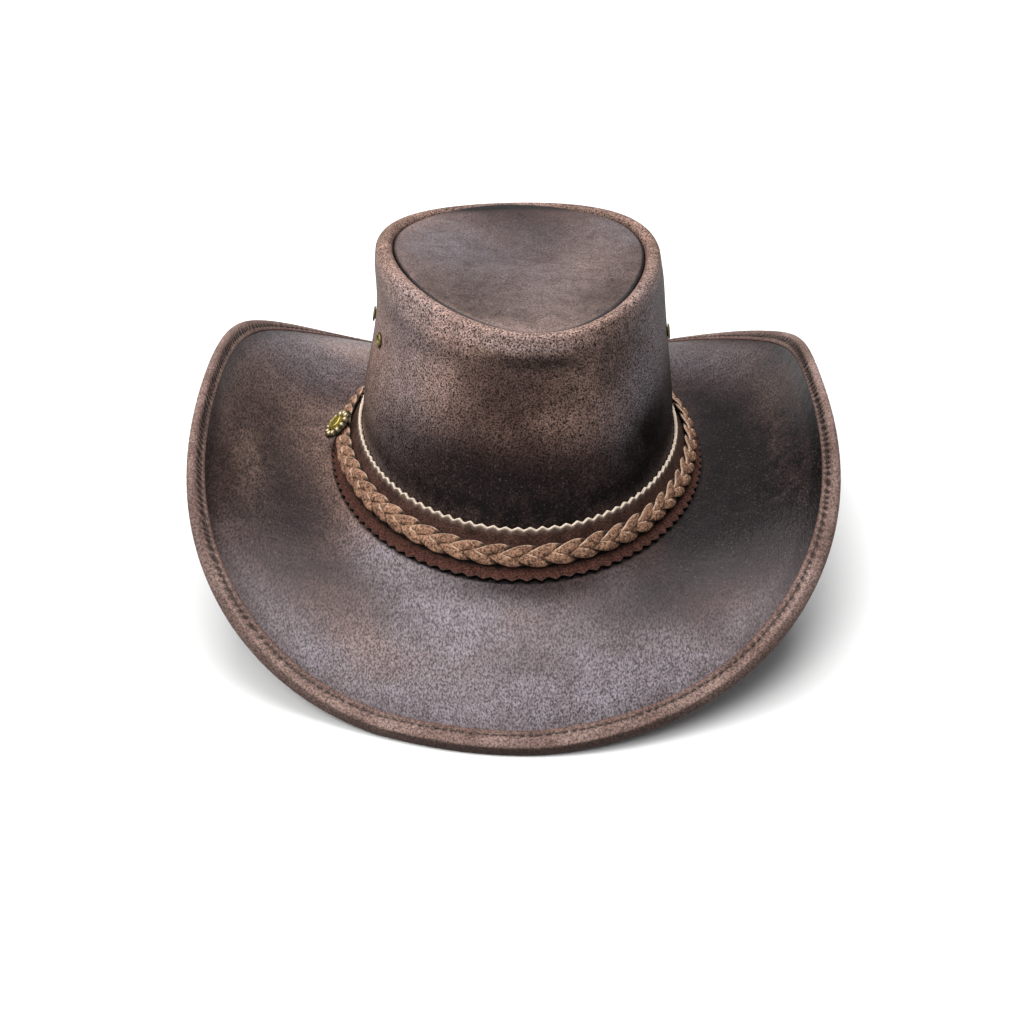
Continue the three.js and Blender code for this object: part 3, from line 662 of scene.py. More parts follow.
def binding(material):
    """A closed ring: the strip's outer face from its top edge out, over the nose as half an ellipse, and
    back underneath, and its inner face back. It has painted shade in its folds and on its lip where the edge
    turns down, and is pared at its rim."""
    turns = np.linspace(0, 360, PUCKER["count"] * PUCKER["columns"], endpoint=False)
    reach = around_hat(turns, BINDING_REACH)
    start = binding_start(turns)
    flat = reach - BINDING["roll"]
    # Painted shade in the folds between the stitches and on the lip where the edge turns down.
    deep = around_hat(turns, FOLD_DARK)
    dark_lip = around_hat(turns, LIP_DARK)

    def strip(shares, side):
        """One face of the strip, over shares of its flat width: side is 1 on top and -1 underneath."""
        turn, share = grid(turns, shares)
        lift, sunk = strip_face(turn, share * flat)
        return {
            "points": on_brim(turn, start + share * flat, side * lift),
            "fold": sunk * deep,
            "lip": smooth(share, LIP_START, 1.0) * dark_lip,
            "rim": 1 - smooth(share * flat, 0, PARED_WIDTH),
        }

    lift, sunk = strip_face(turns, flat)
    turn, arc = grid(turns, np.linspace(np.pi / 2, -np.pi / 2, BINDING_GRID["nose"])[1:-1])
    none = 0 * arc
    beyond = BINDING["nose"] * np.cos(arc) ** 0.85
    nose = on_brim(turn, start + flat + none, lift * np.sin(arc), beyond)
    around_nose = {"points": nose, "fold": 0.5 * sunk * deep + none, "lip": dark_lip + none, "rim": none}
    turn, share = grid(turns, [0, 1, 1, 0])
    none = 0 * share
    inner = (BRIM_THICKNESS / 2 + BINDING["seat"] / 4) * np.array([-1, -1, 1, 1])[:, None] + none
    inside = {"points": on_brim(turn, start + share * reach, inner), "fold": none, "lip": none, "rim": none}

    top = strip(np.linspace(0, 1, BINDING_GRID["top"]), 1)
    under = strip(np.linspace(1, 0, BINDING_GRID["under"]), -1)
    parts = (top, around_nose, under, inside)
    values = {key: np.concatenate([part[key] for part in parts]) for key in top}
    points = values.pop("points")
    points[..., 2] = np.maximum(points[..., 2], FLOOR)
    surface = ring_surface(points, **values)
    return make_piece("brim_edge_binding", [surface], material, "binding_leather", "brim_binding")


def binding_stitches(material):
    """Each stitch is a long bead: a half circle's radii along a short straight line between two holes. One
    row lies on top of the strip and one underneath."""
    count, sides, rows = PUCKER["count"], STITCH["sides"], STITCH["rows"]
    length = np.linspace(-1, 1, rows)
    radius = STITCH["radius"] * np.sqrt(1 - (STITCH["round"] * length) ** 2)
    around = np.linspace(0, 2 * np.pi, sides, endpoint=False)
    turns = 360.0 * (np.arange(count) + 0.5) / count
    distance = binding_start(turns) + around_hat(turns, STITCH_INSET)
    groove = BINDING["seat"] + BINDING["leather"] - STITCH["sunk"] * around_hat(turns, GROOVE_DEPTH)
    base = BRIM_THICKNESS / 2 + groove + STITCH["radius"]
    level = 0 * turns
    step = on_brim(turns + TURN_STEP, distance, level) - on_brim(turns - TURN_STEP, distance, level)
    pitch = np.linalg.norm(step, axis=-1) / (2 * TURN_STEP) * 360 / count
    away, normal = surface_frame(standing_brim, turns, distance, AWAY_STEP)
    surfaces = []
    for side in (1, -1):
        middle = on_brim(turns, distance, side * base)
        reach = (0.5 * STITCH["share"] * pitch)[:, None, None, None] * length[None, :, None, None]
        spoke = np.cos(around)[None, None, :, None] * away[:, None, None, :]
        spoke = spoke + np.sin(around)[None, None, :, None] * normal[:, None, None, :]
        beads = middle[:, None, None, :] + reach * unit(step)[:, None, None, :]
        beads = beads + radius[None, :, None, None] * spoke
        beads[..., 2] = np.maximum(beads[..., 2], FLOOR + STITCH["clear"])
        one = ring_faces(rows, sides, False)
        ends = [np.arange(sides)[::-1][None], ((rows - 1) * sides + np.arange(sides))[None]]
        offsets = (np.arange(count) * rows * sides)[:, None, None]
        faces = [(part[None] + offsets).reshape(-1, part.shape[1]) for part in (one, *ends)]
        surfaces.append({"points": beads.reshape(-1, 3), "faces": faces, "values": {}})
    return make_piece("binding_stitches", surfaces, material, "binding_leather", "brim_binding")


def tooth_wave(turns, count, seed):
    """The pinked edge: a triangle wave with a little rounding, each tooth a little longer or shorter."""
    place = np.arange(len(turns)) / (len(turns) / count)
    part = place % 1
    wave = 1 - 4 * np.abs(part - 0.5)
    rounded = np.tanh(TOOTH["rounding"] * wave) / math.tanh(TOOTH["rounding"])
    wave = wave + (rounded - wave) * TOOTH["round_share"]
    lengths = np.random.default_rng(seed).uniform(TOOTH["shortest"], TOOTH["longest"], count)
    return wave * lengths[np.floor(place).astype(int) % count]


def side_shift(turn, column):
    """How much band and braid are shifted: the sum of each row's shift * bell(turn)."""
    return sum(row[column] * bell(turn_between(turn, row["turn"]), row["wide"]) for row in SIDE_SHIFTS)


def braid_middle(turn):
    """The braid's middle line, out and up from the crown's foot."""
    out = BRAID["out"] + side_shift(turn, "out")
    up = around_hat(turn, FOOT_HEIGHT) + BRAID["up"] + side_shift(turn, "up")
    return oval_point(FOOT, turn) + outwards(FOOT, turn) * out[..., None] + up[..., None] * UP


def leaning_face(turn, lean):
    """The direction out of a face that leans back from upright, and the direction up along it."""
    direction = outwards(FOOT, turn)
    sine, cosine = np.sin(np.radians(lean))[..., None], np.cos(np.radians(lean))[..., None]
    return direction * cosine + UP * sine, UP * cosine - direction * sine


def hat_band(material):
    """The band's middle line is a quadratic Bezier from the wall to the brim. Halfway it passes just behind
    the braid. Its closed section runs down the outer face, round the low edge, up the inner face and round
    the top edge. The gutter below the braid is darkened with painted shadow."""
    turns = even_turns(BAND["teeth"] * BAND["columns"])
    upper = BAND["top"] + TOOTH["top"] / 2 * tooth_wave(turns, BAND["teeth"], SEEDS["top_teeth"])
    low_wave = tooth_wave(turns, BAND["teeth"], SEEDS["low_teeth"])
    lower = BAND["low"] + side_shift(turns, "low") + TOOTH["low"] / 2 * low_wave
    half = BAND["thickness"] / 2
    start = on_wall(turns, upper / wall_height(turns), BAND_SEAT["top"] + half + 0 * turns)
    end = on_brim(turns, lower, BRIM_THICKNESS / 2 + BAND_SEAT["low"] + half + 0 * turns)
    behind = BRAID["back"] + BAND_SEAT["braid"] + half
    braid_face = leaning_face(turns, BRAID["lean"] + side_shift(turns, "lean"))[0]
    bend = 2 * (braid_middle(turns) - behind * braid_face) - (start + end) / 2

    t = np.concatenate([[0, 0.02, 0.045, 0.075], np.linspace(0.11, 0.95, 22), [1.0]])[:, None, None]
    line = (1 - t) ** 2 * start + 2 * (1 - t) * t * bend + t**2 * end
    down = unit((1 - t) * (bend - start) + t * (end - bend))
    around = np.roll(line, -1, 1) - np.roll(line, 1, 1)
    face = unit(np.cross(around, down))
    if np.einsum("ijk,ijk->", face, np.broadcast_to(outwards(FOOT, turns), face.shape)) < 0:
        face = -face
    arc = np.linspace(0.5 * np.pi, -0.5 * np.pi, 7)[1:-1, None, None]
    bulge = 0.45 * np.cos(arc)
    low_edge = line[-1] + half * (np.sin(arc) * face[-1] + bulge * down[-1])
    top_edge = line[0] - half * (np.sin(arc) * face[0] + bulge * down[0])
    points = np.concatenate([line + half * face, low_edge, (line - half * face)[::-1], top_edge])
    run, edge = t[:, :, 0], np.ones((len(arc), 1))
    pale = 0.85 * (1 - smooth(run, 0.0, 0.03)) + 0.1 * (1 - smooth(run, 0.02, 0.12))
    # Painted shadow of the braid on the band, in the gutter below it.
    gutter = smooth(run, 0.5, 0.6) * (1 - smooth(run, 0.74, 0.82))
    values = {
        "cut": np.concatenate([pale, 0.1 * edge, pale[::-1], edge]),
        "low": np.concatenate([run, edge, run[::-1], 0 * edge]),
        "crease": np.concatenate([gutter, 0 * edge, gutter[::-1], 0 * edge]),
    }
    return make_piece("pinked_band", [ring_surface(points, **values)], material, "band_suede", "hat_band")


def braid_laces(material):
    """Three laces, a third of a period apart. Each swings across the braid by a sine of its phase p, dips
    and rises by sin 2p so that it passes over one and under the next, and rocks by cos 3p."""
    count = PLAIT["periods"] * LACE["columns"]
    turns = even_turns(count)
    middle = braid_middle(turns)
    face, across = leaning_face(turns, BRAID["lean"] + side_shift(turns, "lean"))
    run = unit(np.roll(middle, -1, 0) - np.roll(middle, 1, 0))
    foot_length = np.linalg.norm(np.roll(middle, -1, 0) - middle, axis=-1).sum()
    period = foot_length / PLAIT["periods"]
    chance = np.random.default_rng(SEEDS["laces"])
    angle = np.linspace(0, 2 * np.pi, LACE["sides"], endpoint=False)
    surfaces = []
    for lace in range(3):
        phase = 2 * np.pi * (np.arange(count) / LACE["columns"] + lace / 3)
        lobe = np.arange(2 * PLAIT["periods"])
        widths = chance.uniform(-LACE["uneven"], LACE["uneven"], len(lobe))
        wider = np.interp(phase / np.pi, lobe, widths, period=len(lobe))
        swing = PLAIT["swing"] * (1 + 0.5 * wider)
        slope = swing * np.cos(phase) * 2 * np.pi / period
        cosine, sine = 1 / np.sqrt(1 + slope**2), slope / np.sqrt(1 + slope**2)
        side = across * cosine[:, None] - run * sine[:, None]
        rock = PLAIT["rock"] * np.cos(3 * phase)
        side = unit(side + face * rock[:, None])
        ahead = run * cosine[:, None] + across * sine[:, None]
        normal = unit(np.cross(ahead, side))
        normal = normal * np.sign(np.einsum("ij,ij->i", normal, face))[:, None]
        centre = middle + across * (swing * np.sin(phase))[:, None]
        centre = centre + face * (PLAIT["weave"] * np.sin(2 * phase))[:, None]
        half_width = 0.5 * LACE["width"] * (1 + wider)
        shape = np.abs(np.cos(angle)) ** 0.55 * np.sign(np.cos(angle))
        depth = np.abs(np.sin(angle)) ** 0.75 * np.sign(np.sin(angle))
        crown = LACE["crown"] * (1 - shape**2) * (depth > 0)
        height = 0.5 * LACE["thickness"] * depth + crown
        offset_side = half_width[None, :, None] * shape[:, None, None] * side[None]
        points = centre[None] + offset_side + height[:, None, None] * normal[None]
        cut = np.broadcast_to((np.maximum(shape, 0) ** 12)[:, None], (len(angle), count))
        # Painted shade where a lace dives under the next and along its lower edge.
        dive = LACE_DARK["dive"] * smooth(-np.sin(2 * phase), LACE_DARK["from"], 1.0)
        crease = np.maximum(dive, LACE_DARK["edge"] * (np.maximum(-shape, 0) ** 10)[:, None])
        surfaces.append(ring_surface(points, cut=cut, crease=crease))
    return make_piece("braid_laces", surfaces, material, "braid_suede", "braid")


def concho(material):
    """A stamped flower stud as a height over a disc: a flat boss in the middle, a ring of round petals, and
    a thin rim notched between them. Its underside is flat."""
    middle = braid_middle(np.array(CONCHO["turn"]))
    face, across = leaning_face(np.array(CONCHO["facing"]), np.array(CONCHO["lean"]))
    along = np.cross(across, face)
    radius, petals = CONCHO["radius"], CONCHO["petals"]
    turns = np.linspace(0, 2 * np.pi, 20 * petals, endpoint=False)
    share = np.concatenate([np.linspace(0.04, 0.97, 58), [0.985, 1.0]])[:, None]
    petal_turn = (turns * petals / (2 * np.pi) + 0.5) % 1 - 0.5
    notch = 1 - 0.05 * (2 * np.abs(petal_turn)) ** 3
    reach = radius * share * notch
    sideways = 2 * np.pi * petal_turn / petals * reach
    bead = 1 - ((reach - PETAL["middle"]) / PETAL["long"]) ** 2 - (sideways / PETAL["wide"]) ** 2
    petal = PETAL["height"] * np.sqrt(np.maximum(0, bead))
    boss = BOSS["height"] * smooth(BOSS["radius"] - reach, 0.0, 0.55)
    boss = boss + 0.35 * bell(reach - BOSS["ring"], 0.32) + 0.2 * bell(reach, 2.2)
    relief = np.maximum(petal, boss)
    height = (STUD_FACE["plate"] + relief) * np.sqrt(np.clip(1.02 - share**16, 0.02, 1))

    def place(radii, lift):
        """A ring of radii round the stud's middle, lifted off the braid along its face."""
        spoke = np.cos(turns)[None, :, None] * along + np.sin(turns)[None, :, None] * across
        return middle + radii[..., None] * spoke + (STUD_FACE["lift"] + lift)[..., None] * face

    floor_share = np.array([0.98, 0.9, 0.5])[:, None] * notch
    points = np.concatenate([place(reach, height), place(radius * floor_share, 0 * floor_share)])
    # The underside is painted near black as shade under the stud; the low relief has patina.
    recess = np.concatenate([1 - smooth(relief, 0.1, 1.1), 0 * floor_share + 1])
    gold = np.concatenate([smooth(5.2 - reach, 0, 0.5), 0 * floor_share])
    crest = middle + face * (STUD_FACE["lift"] + height[0].mean())
    base = middle + face * STUD_FACE["lift"]
    surface = capped_surface(points, crest, base, recess=recess, gold=gold)
    return make_piece("flower_stud", [surface], material, "brass", "concho")


def eyelet_axes(turn):
    """The place of an eyelet on the wall, straight out of it, and two directions across."""
    turn, height = np.array(float(turn)), np.array(EYELET["height"])
    away, normal = surface_frame(wall_point, turn, height, SHARE_STEP)
    out = -normal
    side = unit(np.cross(away, out))
    return wall_point(turn, height), out, side, np.cross(out, side)


def eyelet(name, turn, material):
    """A ring turned round the wall's normal. Its profile rolls over outside, runs through the hole, rolls
    over inside and comes back along the barrel."""
    centre, out, side, upward = eyelet_axes(turn)
    outside, inside = EYELET_SEAT["clear"], -WALL - EYELET_SEAT["clear"]
    middle = (EYELET["flange"] + EYELET["hole"]) / 2
    half = (EYELET["flange"] - EYELET["hole"]) / 2
    roll = np.linspace(0, np.pi, EYELET_GRID["roll"])
    barrel = np.linspace(inside, outside, EYELET_GRID["barrel"])
    radii = [middle + half * np.cos(roll), middle - half * np.cos(roll), 0 * barrel + EYELET["barrel"]]
    outer = outside + EYELET_SEAT["face"] * np.sin(roll)
    inner = inside - EYELET_SEAT["back"] * np.sin(roll)
    around = np.linspace(0, 2 * np.pi, EYELET_GRID["columns"], endpoint=False)[None]
    spoke = np.cos(around)[..., None] * side + np.sin(around)[..., None] * upward
    radii = np.concatenate(radii)[:, None, None]
    heights = np.concatenate([outer, inner, barrel])[:, None, None]
    recess = [0.25 + 0.5 * np.abs(np.cos(roll)), np.ones(len(roll) + len(barrel))]
    recess = np.concatenate(recess)[:, None]
    surface = ring_surface(centre + radii * spoke + heights * out, recess=recess, gold=0.6)
    return make_piece(name + "_ring", [surface], material, "brass", name)


def drill_eyelet_holes(piece):
    """Cuts the round vent holes through the wall with a joined set of cylinders."""
    around = np.linspace(0, 2 * np.pi, EYELET_GRID["drill"], endpoint=False)
    radius = (EYELET["barrel"] + EYELET["flange"]) / 2
    drills = []
    for turn in EYELETS.values():
        centre, out, side, upward = eyelet_axes(turn)
        rim = np.cos(around)[:, None] * side + np.sin(around)[:, None] * upward
        ends = [centre + depth * out for depth in DRILL_DEPTHS]
        rows = np.stack([end + radius * rim for end in ends])
        drills.append(capped_surface(rows, *ends))
    cutter = new_object("eyelet_drills", new_mesh("eyelet_drills", drills))
    cut = piece.modifiers.new("eyelet_holes", "BOOLEAN")
    cut.operation = "DIFFERENCE"
    cut.solver = "EXACT"
    cut.object = cutter
    bpy.context.view_layer.update()
    evaluated = piece.evaluated_get(bpy.context.evaluated_depsgraph_get())
    drilled = bpy.data.meshes.new_from_object(evaluated)
    piece.modifiers.clear()
    piece.data = drilled
    bpy.data.objects.remove(cutter)
    drilled.shade_smooth()


def colour(code):
    """An sRGB hex value as linear red, green and blue, with full alpha."""
    parts = [int(code[start : start + 2], 16) / 255 for start in (1, 3, 5)]
    linear = [part / 12.92 if part <= 0.04045 else ((part + 0.055) / 1.055) ** 2.4 for part in parts]
    return (*linear, 1.0)


def add(tree, kind, inputs=None, **settings):
    """Adds a node. An input is named by its identifier, and takes a value, a socket or a node's output."""
    node = tree.nodes.new(kind)
    for key, value in settings.items():
        setattr(node, key, value)
    for key, value in (inputs or {}).items():
        socket = next(found for found in node.inputs if found.identifier == key)
        if isinstance(value, bpy.types.Node):
            value = next(found for found in value.outputs if found.enabled)
        if isinstance(value, bpy.types.NodeSocket):
            tree.links.new(value, socket)
        else:
            socket.default_value = value
    return node


def new_material(name, *keys):
    """An empty material and its node tree, its Object coordinates in metres, and the attributes it reads."""
    material = bpy.data.materials.new(name)
    material.use_nodes = True
    tree = material.node_tree
    tree.nodes.clear()
    place = add(tree, "ShaderNodeTexCoord").outputs["Object"]
    values = [add(tree, "ShaderNodeAttribute", attribute_name=key).outputs["Fac"] for key in keys]
    return material, tree, place, *values


def grains(size):
    """The scale of a noise texture whose grains are this many millimetres across."""
    return 1 / (size * MM)


def peppered(tree, body, grain, contrast):
    """A colour times 1 - contrast in the grain's dark pores to 1 + contrast on its pale pebbles."""
    salt = add(tree, "ShaderNodeMapRange", {
        "Value": grain, "From Min": 0.36, "From Max": 0.64, "To Min": 1 - contrast, "To Max": 1 + contrast})
    return add(tree, "ShaderNodeMix", {
        "Factor_Float": 1.0, "A_Color": body, "B_Color": salt}, data_type="RGBA", blend_type="MULTIPLY")


def waxed_leather(name, shine, dull, stretch, contrast):
    """Pull-up cowhide, drum-dyed dark brown and dressed with oil and wax. It has a dull shine that clouds
    over in a grey wax haze, rubs through to reddish brown where it is handled, and its grain is a fine salt
    and pepper of pale rubbed pebbles and dark pores. Its tones also paint light: a grey sheen, a highlight
    on the shoulder, and shade in seams, gaps and hollows. Shine is the strength of its reflection and dull
    its middle roughness. Stretch draws the grain out along the hide's fibres, and contrast is how far its
    pebbles differ from its pores."""
    material, tree, place, worn, dark, bloom_and_sheen, flesh = new_material(name, *TONES, "rough_side")
    # The dye clouds over 38 mm, wear breaks up over 9 mm, and specks of dust are 1.1 mm wide. The pebbles
    # of real cowhide are about 0.4 mm, and are drawn at 0.75 mm so that they show.
    fibres = add(tree, "ShaderNodeMapping", {
        "Vector": place, "Rotation": (0, 0, math.radians(-23)), "Scale": (1.0, 1.0 / stretch, 1.0)})
    clouds = add(tree, "ShaderNodeTexNoise", {
        "Vector": place, "Scale": grains(38), "Detail": 5.0, "Roughness": 0.62, "Distortion": 0.5})
    mottle = add(tree, "ShaderNodeTexNoise", {
        "Vector": place, "Scale": grains(9), "Detail": 5.0, "Roughness": 0.7, "Distortion": 0.8})
    grain = add(tree, "ShaderNodeTexNoise", {
        "Vector": fibres, "Scale": grains(0.75), "Detail": 1.5, "Roughness": 0.7})
    dust = add(tree, "ShaderNodeTexNoise", {"Vector": place, "Scale": grains(1.1), "Detail": 1.0})

    cloudy = add(tree, "ShaderNodeMapRange", {"Value": clouds, "From Min": 0.36, "From Max": 0.66})
    patchy = add(tree, "ShaderNodeMapRange", {
        "Value": mottle, "From Min": 0.34, "From Max": 0.66, "To Min": 0.55, "To Max": 1.15})
    uneven = add(tree, "ShaderNodeMapRange", {
        "Value": mottle, "From Min": 0.3, "From Max": 0.7, "To Min": 1.12, "To Max": 0.94})
    coats = [(cloudy, "#4c3a34")]
    # The pale brown is partly painted highlight, the grey partly painted sheen, and the near black partly
    # painted shade.
    tones = ((worn, patchy, "#9a7d70"), (bloom_and_sheen, patchy, "#726c71"), (dark, uneven, "#0b0808"))
    for tone, broken, code in tones:
        amount = add(tree, "ShaderNodeMath", {
            "Value": tone, "Value_001": broken}, operation="MULTIPLY", use_clamp=True)
        coats.append((amount, code))
    body = colour("#2b1d19")
    for amount, code in coats:
        body = add(tree, "ShaderNodeMix", {
            "Factor_Float": amount, "A_Color": body, "B_Color": colour(code)}, data_type="RGBA")
    both_sides = peppered(tree, body, grain, contrast)
    flecks = add(tree, "ShaderNodeMapRange", {
        "Value": dust, "From Min": 0.6, "From Max": 0.78, "To Max": 0.16})
    for amount, code in ((flecks, "#8b7a72"), (flesh, "#6d4c3a")):
        both_sides = add(tree, "ShaderNodeMix", {
            "Factor_Float": amount, "A_Color": both_sides, "B_Color": colour(code)}, data_type="RGBA")

    cloudy_shine = add(tree, "ShaderNodeMapRange", {
        "Value": mottle, "From Min": 0.3, "From Max": 0.7, "To Min": dull - 0.07, "To Max": dull + 0.07})
    rough = add(tree, "ShaderNodeMix", {
        "Factor_Float": flesh, "A_Float": cloudy_shine, "B_Float": 0.92}, data_type="FLOAT")
    fine = add(tree, "ShaderNodeBump", {"Height": grain, "Strength": 0.6, "Distance": 0.2 * MM})
    bumped = add(tree, "ShaderNodeBump", {
        "Height": mottle, "Strength": 0.5, "Distance": 0.5 * MM, "Normal": fine})
    shader = add(tree, "ShaderNodeBsdfPrincipled", {
        "Base Color": both_sides, "Roughness": rough, "Normal": bumped, "IOR": 1.5,
        "Specular IOR Level": shine, "Specular Tint": colour("#ffecef")})
    add(tree, "ShaderNodeOutputMaterial", {"Surface": shader})
    return material


def binding_leather():
    """Split cowhide, folded dry over the edge: matt, lighter and redder than the brim, reddest at its pared
    inner edge, and darkened by painted shade along its lip and in the folds between the stitches."""
    material, tree, place, fold, lip, rim = new_material("folded_split_leather", "fold", "lip", "rim")
    # Its tone clouds over 26 mm. Its fibres, about 0.3 mm wide, are drawn at 0.9 mm so that they show.
    clouds = add(tree, "ShaderNodeTexNoise", {
        "Vector": place, "Scale": grains(26), "Detail": 5.0, "Roughness": 0.6})
    grain = add(tree, "ShaderNodeTexNoise", {
        "Vector": place, "Scale": grains(0.9), "Detail": 1.5, "Roughness": 0.75})
    cloudy = add(tree, "ShaderNodeMapRange", {"Value": clouds, "From Min": 0.35, "From Max": 0.65})
    pared = add(tree, "ShaderNodeMath", {"Value": rim, "Value_001": 0.75}, operation="MULTIPLY")
    sunk = add(tree, "ShaderNodeMapRange", {
        "Value": fold, "From Min": 0.15, "From Max": 0.9, "To Max": 0.92})
    body = colour("#624c45")
    # The colours for sunk and lip are painted shade, in the folds between the stitches and on the lip.
    for amount, code in ((cloudy, "#826c64"), (pared, "#4d332b"), (sunk, "#1c120e"), (lip, "#2a1c17")):
        body = add(tree, "ShaderNodeMix", {
            "Factor_Float": amount, "A_Color": body, "B_Color": colour(code)}, data_type="RGBA")
    salted = peppered(tree, body, grain, 0.55)
    bump = add(tree, "ShaderNodeBump", {"Height": grain, "Strength": 0.8, "Distance": 0.25 * MM})
    shader = add(tree, "ShaderNodeBsdfPrincipled", {
        "Base Color": salted, "Roughness": 0.75, "Normal": bump, "IOR": 1.5, "Specular IOR Level": 0.25})
    add(tree, "ShaderNodeOutputMaterial", {"Surface": shader})
    return material


def waxed_thread():
    """Waxed linen thread, twisted: dark brown with a dull shine. Its strands are 0.5 mm wide."""
    material, tree, place = new_material("waxed_linen_thread")
    twist = add(tree, "ShaderNodeTexNoise", {"Vector": place, "Scale": grains(0.5), "Detail": 2.0})
    body = add(tree, "ShaderNodeMix", {
        "Factor_Float": twist, "A_Color": colour("#1d130f"), "B_Color": colour("#3c2a22")}, data_type="RGBA")
    bump = add(tree, "ShaderNodeBump", {"Height": twist, "Strength": 0.5, "Distance": 0.1 * MM})
    shader = add(tree, "ShaderNodeBsdfPrincipled", {"Base Color": body, "Roughness": 0.6, "Normal": bump})
    add(tree, "ShaderNodeOutputMaterial", {"Surface": shader})
    return material


def suede(name, low, high, edge, worn_low, layers):
    """Split suede: a short nap that scatters light, mottled where it lies in different ways, with a paler
    raw cut edge and painted shade, near black, in its creases and gutter. Layers presses the nap's fibres
    flat, as many times longer as they are high, and worn_low is the colour that it has worn to low down."""
    material, tree, place, cut, low_down, crease = new_material(name, "cut", "low", "crease")
    # The nap lies in clouds of 8 mm. Its tufts, about 0.3 mm wide, are drawn at 1.1 mm so that they show.
    fibres = add(tree, "ShaderNodeMapping", {"Vector": place, "Scale": (1.0, 1.0, layers)})
    nap = add(tree, "ShaderNodeTexNoise", {
        "Vector": fibres, "Scale": grains(1.1), "Detail": 2.0, "Roughness": 0.75})
    clouds = add(tree, "ShaderNodeTexNoise", {
        "Vector": place, "Scale": grains(8), "Detail": 3.0, "Roughness": 0.6})
    cloudy = add(tree, "ShaderNodeMapRange", {"Value": clouds, "From Min": 0.35, "From Max": 0.65})
    body = colour(low)
    for amount, code in ((cloudy, high), (low_down, worn_low)):
        body = add(tree, "ShaderNodeMix", {
            "Factor_Float": amount, "A_Color": body, "B_Color": colour(code)}, data_type="RGBA")
    nappy = peppered(tree, body, nap, 0.8)
    frayed = add(tree, "ShaderNodeMapRange", {
        "Value": nap, "From Min": 0.3, "From Max": 0.55, "To Min": 0.5, "To Max": 1.1})
    raw = add(tree, "ShaderNodeMath", {
        "Value": cut, "Value_001": frayed}, operation="MULTIPLY", use_clamp=True)
    # The near black is painted shade, where laces dive and in the band's gutter below the braid.
    for amount, code in ((raw, edge), (crease, "#070403")):
        nappy = add(tree, "ShaderNodeMix", {
            "Factor_Float": amount, "A_Color": nappy, "B_Color": colour(code)}, data_type="RGBA")
    bump = add(tree, "ShaderNodeBump", {"Height": nap, "Strength": 0.8, "Distance": 0.3 * MM})
    shader = add(tree, "ShaderNodeBsdfPrincipled", {
        "Base Color": nappy, "Roughness": 0.95, "Normal": bump, "IOR": 1.45, "Specular IOR Level": 0.2,
        "Sheen Weight": 0.05, "Sheen Roughness": 0.5, "Sheen Tint": colour("#c9a58c")})
    add(tree, "ShaderNodeOutputMaterial", {"Surface": shader})
    return material


def aged_brass():
    """Cast and tumbled brass, gilt on the boss and paler on the worn petals, with spots of tarnish 1.6 mm
    wide, black patina in its recesses, and painted shade, near black, on the stud's underside."""
    material, tree, place, recess, gold = new_material("aged_cast_brass", "recess", "gold")
    tarnish = add(tree, "ShaderNodeTexNoise", {
        "Vector": place, "Scale": grains(1.6), "Detail": 4.0, "Roughness": 0.65})
    spotted = add(tree, "ShaderNodeMapRange", {
        "Value": tarnish, "From Min": 0.48, "From Max": 0.7, "To Max": 0.5})
    sooty = add(tree, "ShaderNodeMath", {"Value": recess, "Value_001": 0.92}, operation="MULTIPLY")
    metal = colour("#a99b7c")
    for amount, code in ((gold, "#bfae5c"), (spotted, "#5a4a22"), (sooty, "#120e08")):
        metal = add(tree, "ShaderNodeMix", {
            "Factor_Float": amount, "A_Color": metal, "B_Color": colour(code)}, data_type="RGBA")
    rough = add(tree, "ShaderNodeMapRange", {
        "Value": tarnish, "From Min": 0.3, "From Max": 0.7, "To Min": 0.32, "To Max": 0.55})
    bump = add(tree, "ShaderNodeBump", {"Height": tarnish, "Strength": 0.25, "Distance": 0.1 * MM})
    shader = add(tree, "ShaderNodeBsdfPrincipled", {
        "Base Color": metal, "Roughness": rough, "Normal": bump, "Metallic": 1.0})
    add(tree, "ShaderNodeOutputMaterial", {"Surface": shader})
    return material


def pale_floor():
    """A large plain sheet of matt white board under the hat, in clouds of 120 mm that hardly show."""
    material, tree, place = new_material("matt_white_board")
    fibre = add(tree, "ShaderNodeTexNoise", {"Vector": place, "Scale": grains(120), "Detail": 3.0})
    tone = add(tree, "ShaderNodeMix", {
        "Factor_Float": fibre, "A_Color": colour("#e4e4e3"), "B_Color": colour("#e9e9e8")}, data_type="RGBA")
    shader = add(tree, "ShaderNodeBsdfPrincipled", {"Base Color": tone, "Roughness": 0.85})
    add(tree, "ShaderNodeOutputMaterial", {"Surface": shader})
    corners = [(x * FLOOR_HALF, y * FLOOR_HALF, 0) for x, y in ((-1, -1), (1, -1), (1, 1), (-1, 1))]
    mesh = bpy.data.meshes.new("floor")
    mesh.from_pydata(corners, [], [(0, 1, 2, 3)])
    mesh.materials.append(material)
    new_object("floor", mesh)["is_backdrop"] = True


def soft_light(name, place, aim, size, radiance):
    """A rectangular softbox. A watt of area light gives 1 / (pi * area) of radiance."""
    lamp = bpy.data.lights.new(name, "AREA")
    lamp.shape = "RECTANGLE"
    lamp.size, lamp.size_y = size
    lamp.energy = radiance * math.pi * size[0] * size[1]
    box = new_object(name, lamp)
    box.location = place
    box.rotation_mode = "QUATERNION"
    box.rotation_quaternion = (Vector(aim) - Vector(place)).to_track_quat("-Z", "Y")


def floor_wash():
    """A spot on the floor behind the hat, whose cone stays clear of the hat."""
    lamp = bpy.data.lights.new("floor_wash", "SPOT")
    lamp.energy = FLOOR_WASH["watts"]
    lamp.spot_size = math.radians(FLOOR_WASH["cone"])
    lamp.spot_blend = 1.0
    lamp.shadow_soft_size = FLOOR_WASH["radius"]
    new_object("floor_wash", lamp).location = FLOOR_WASH["place"]


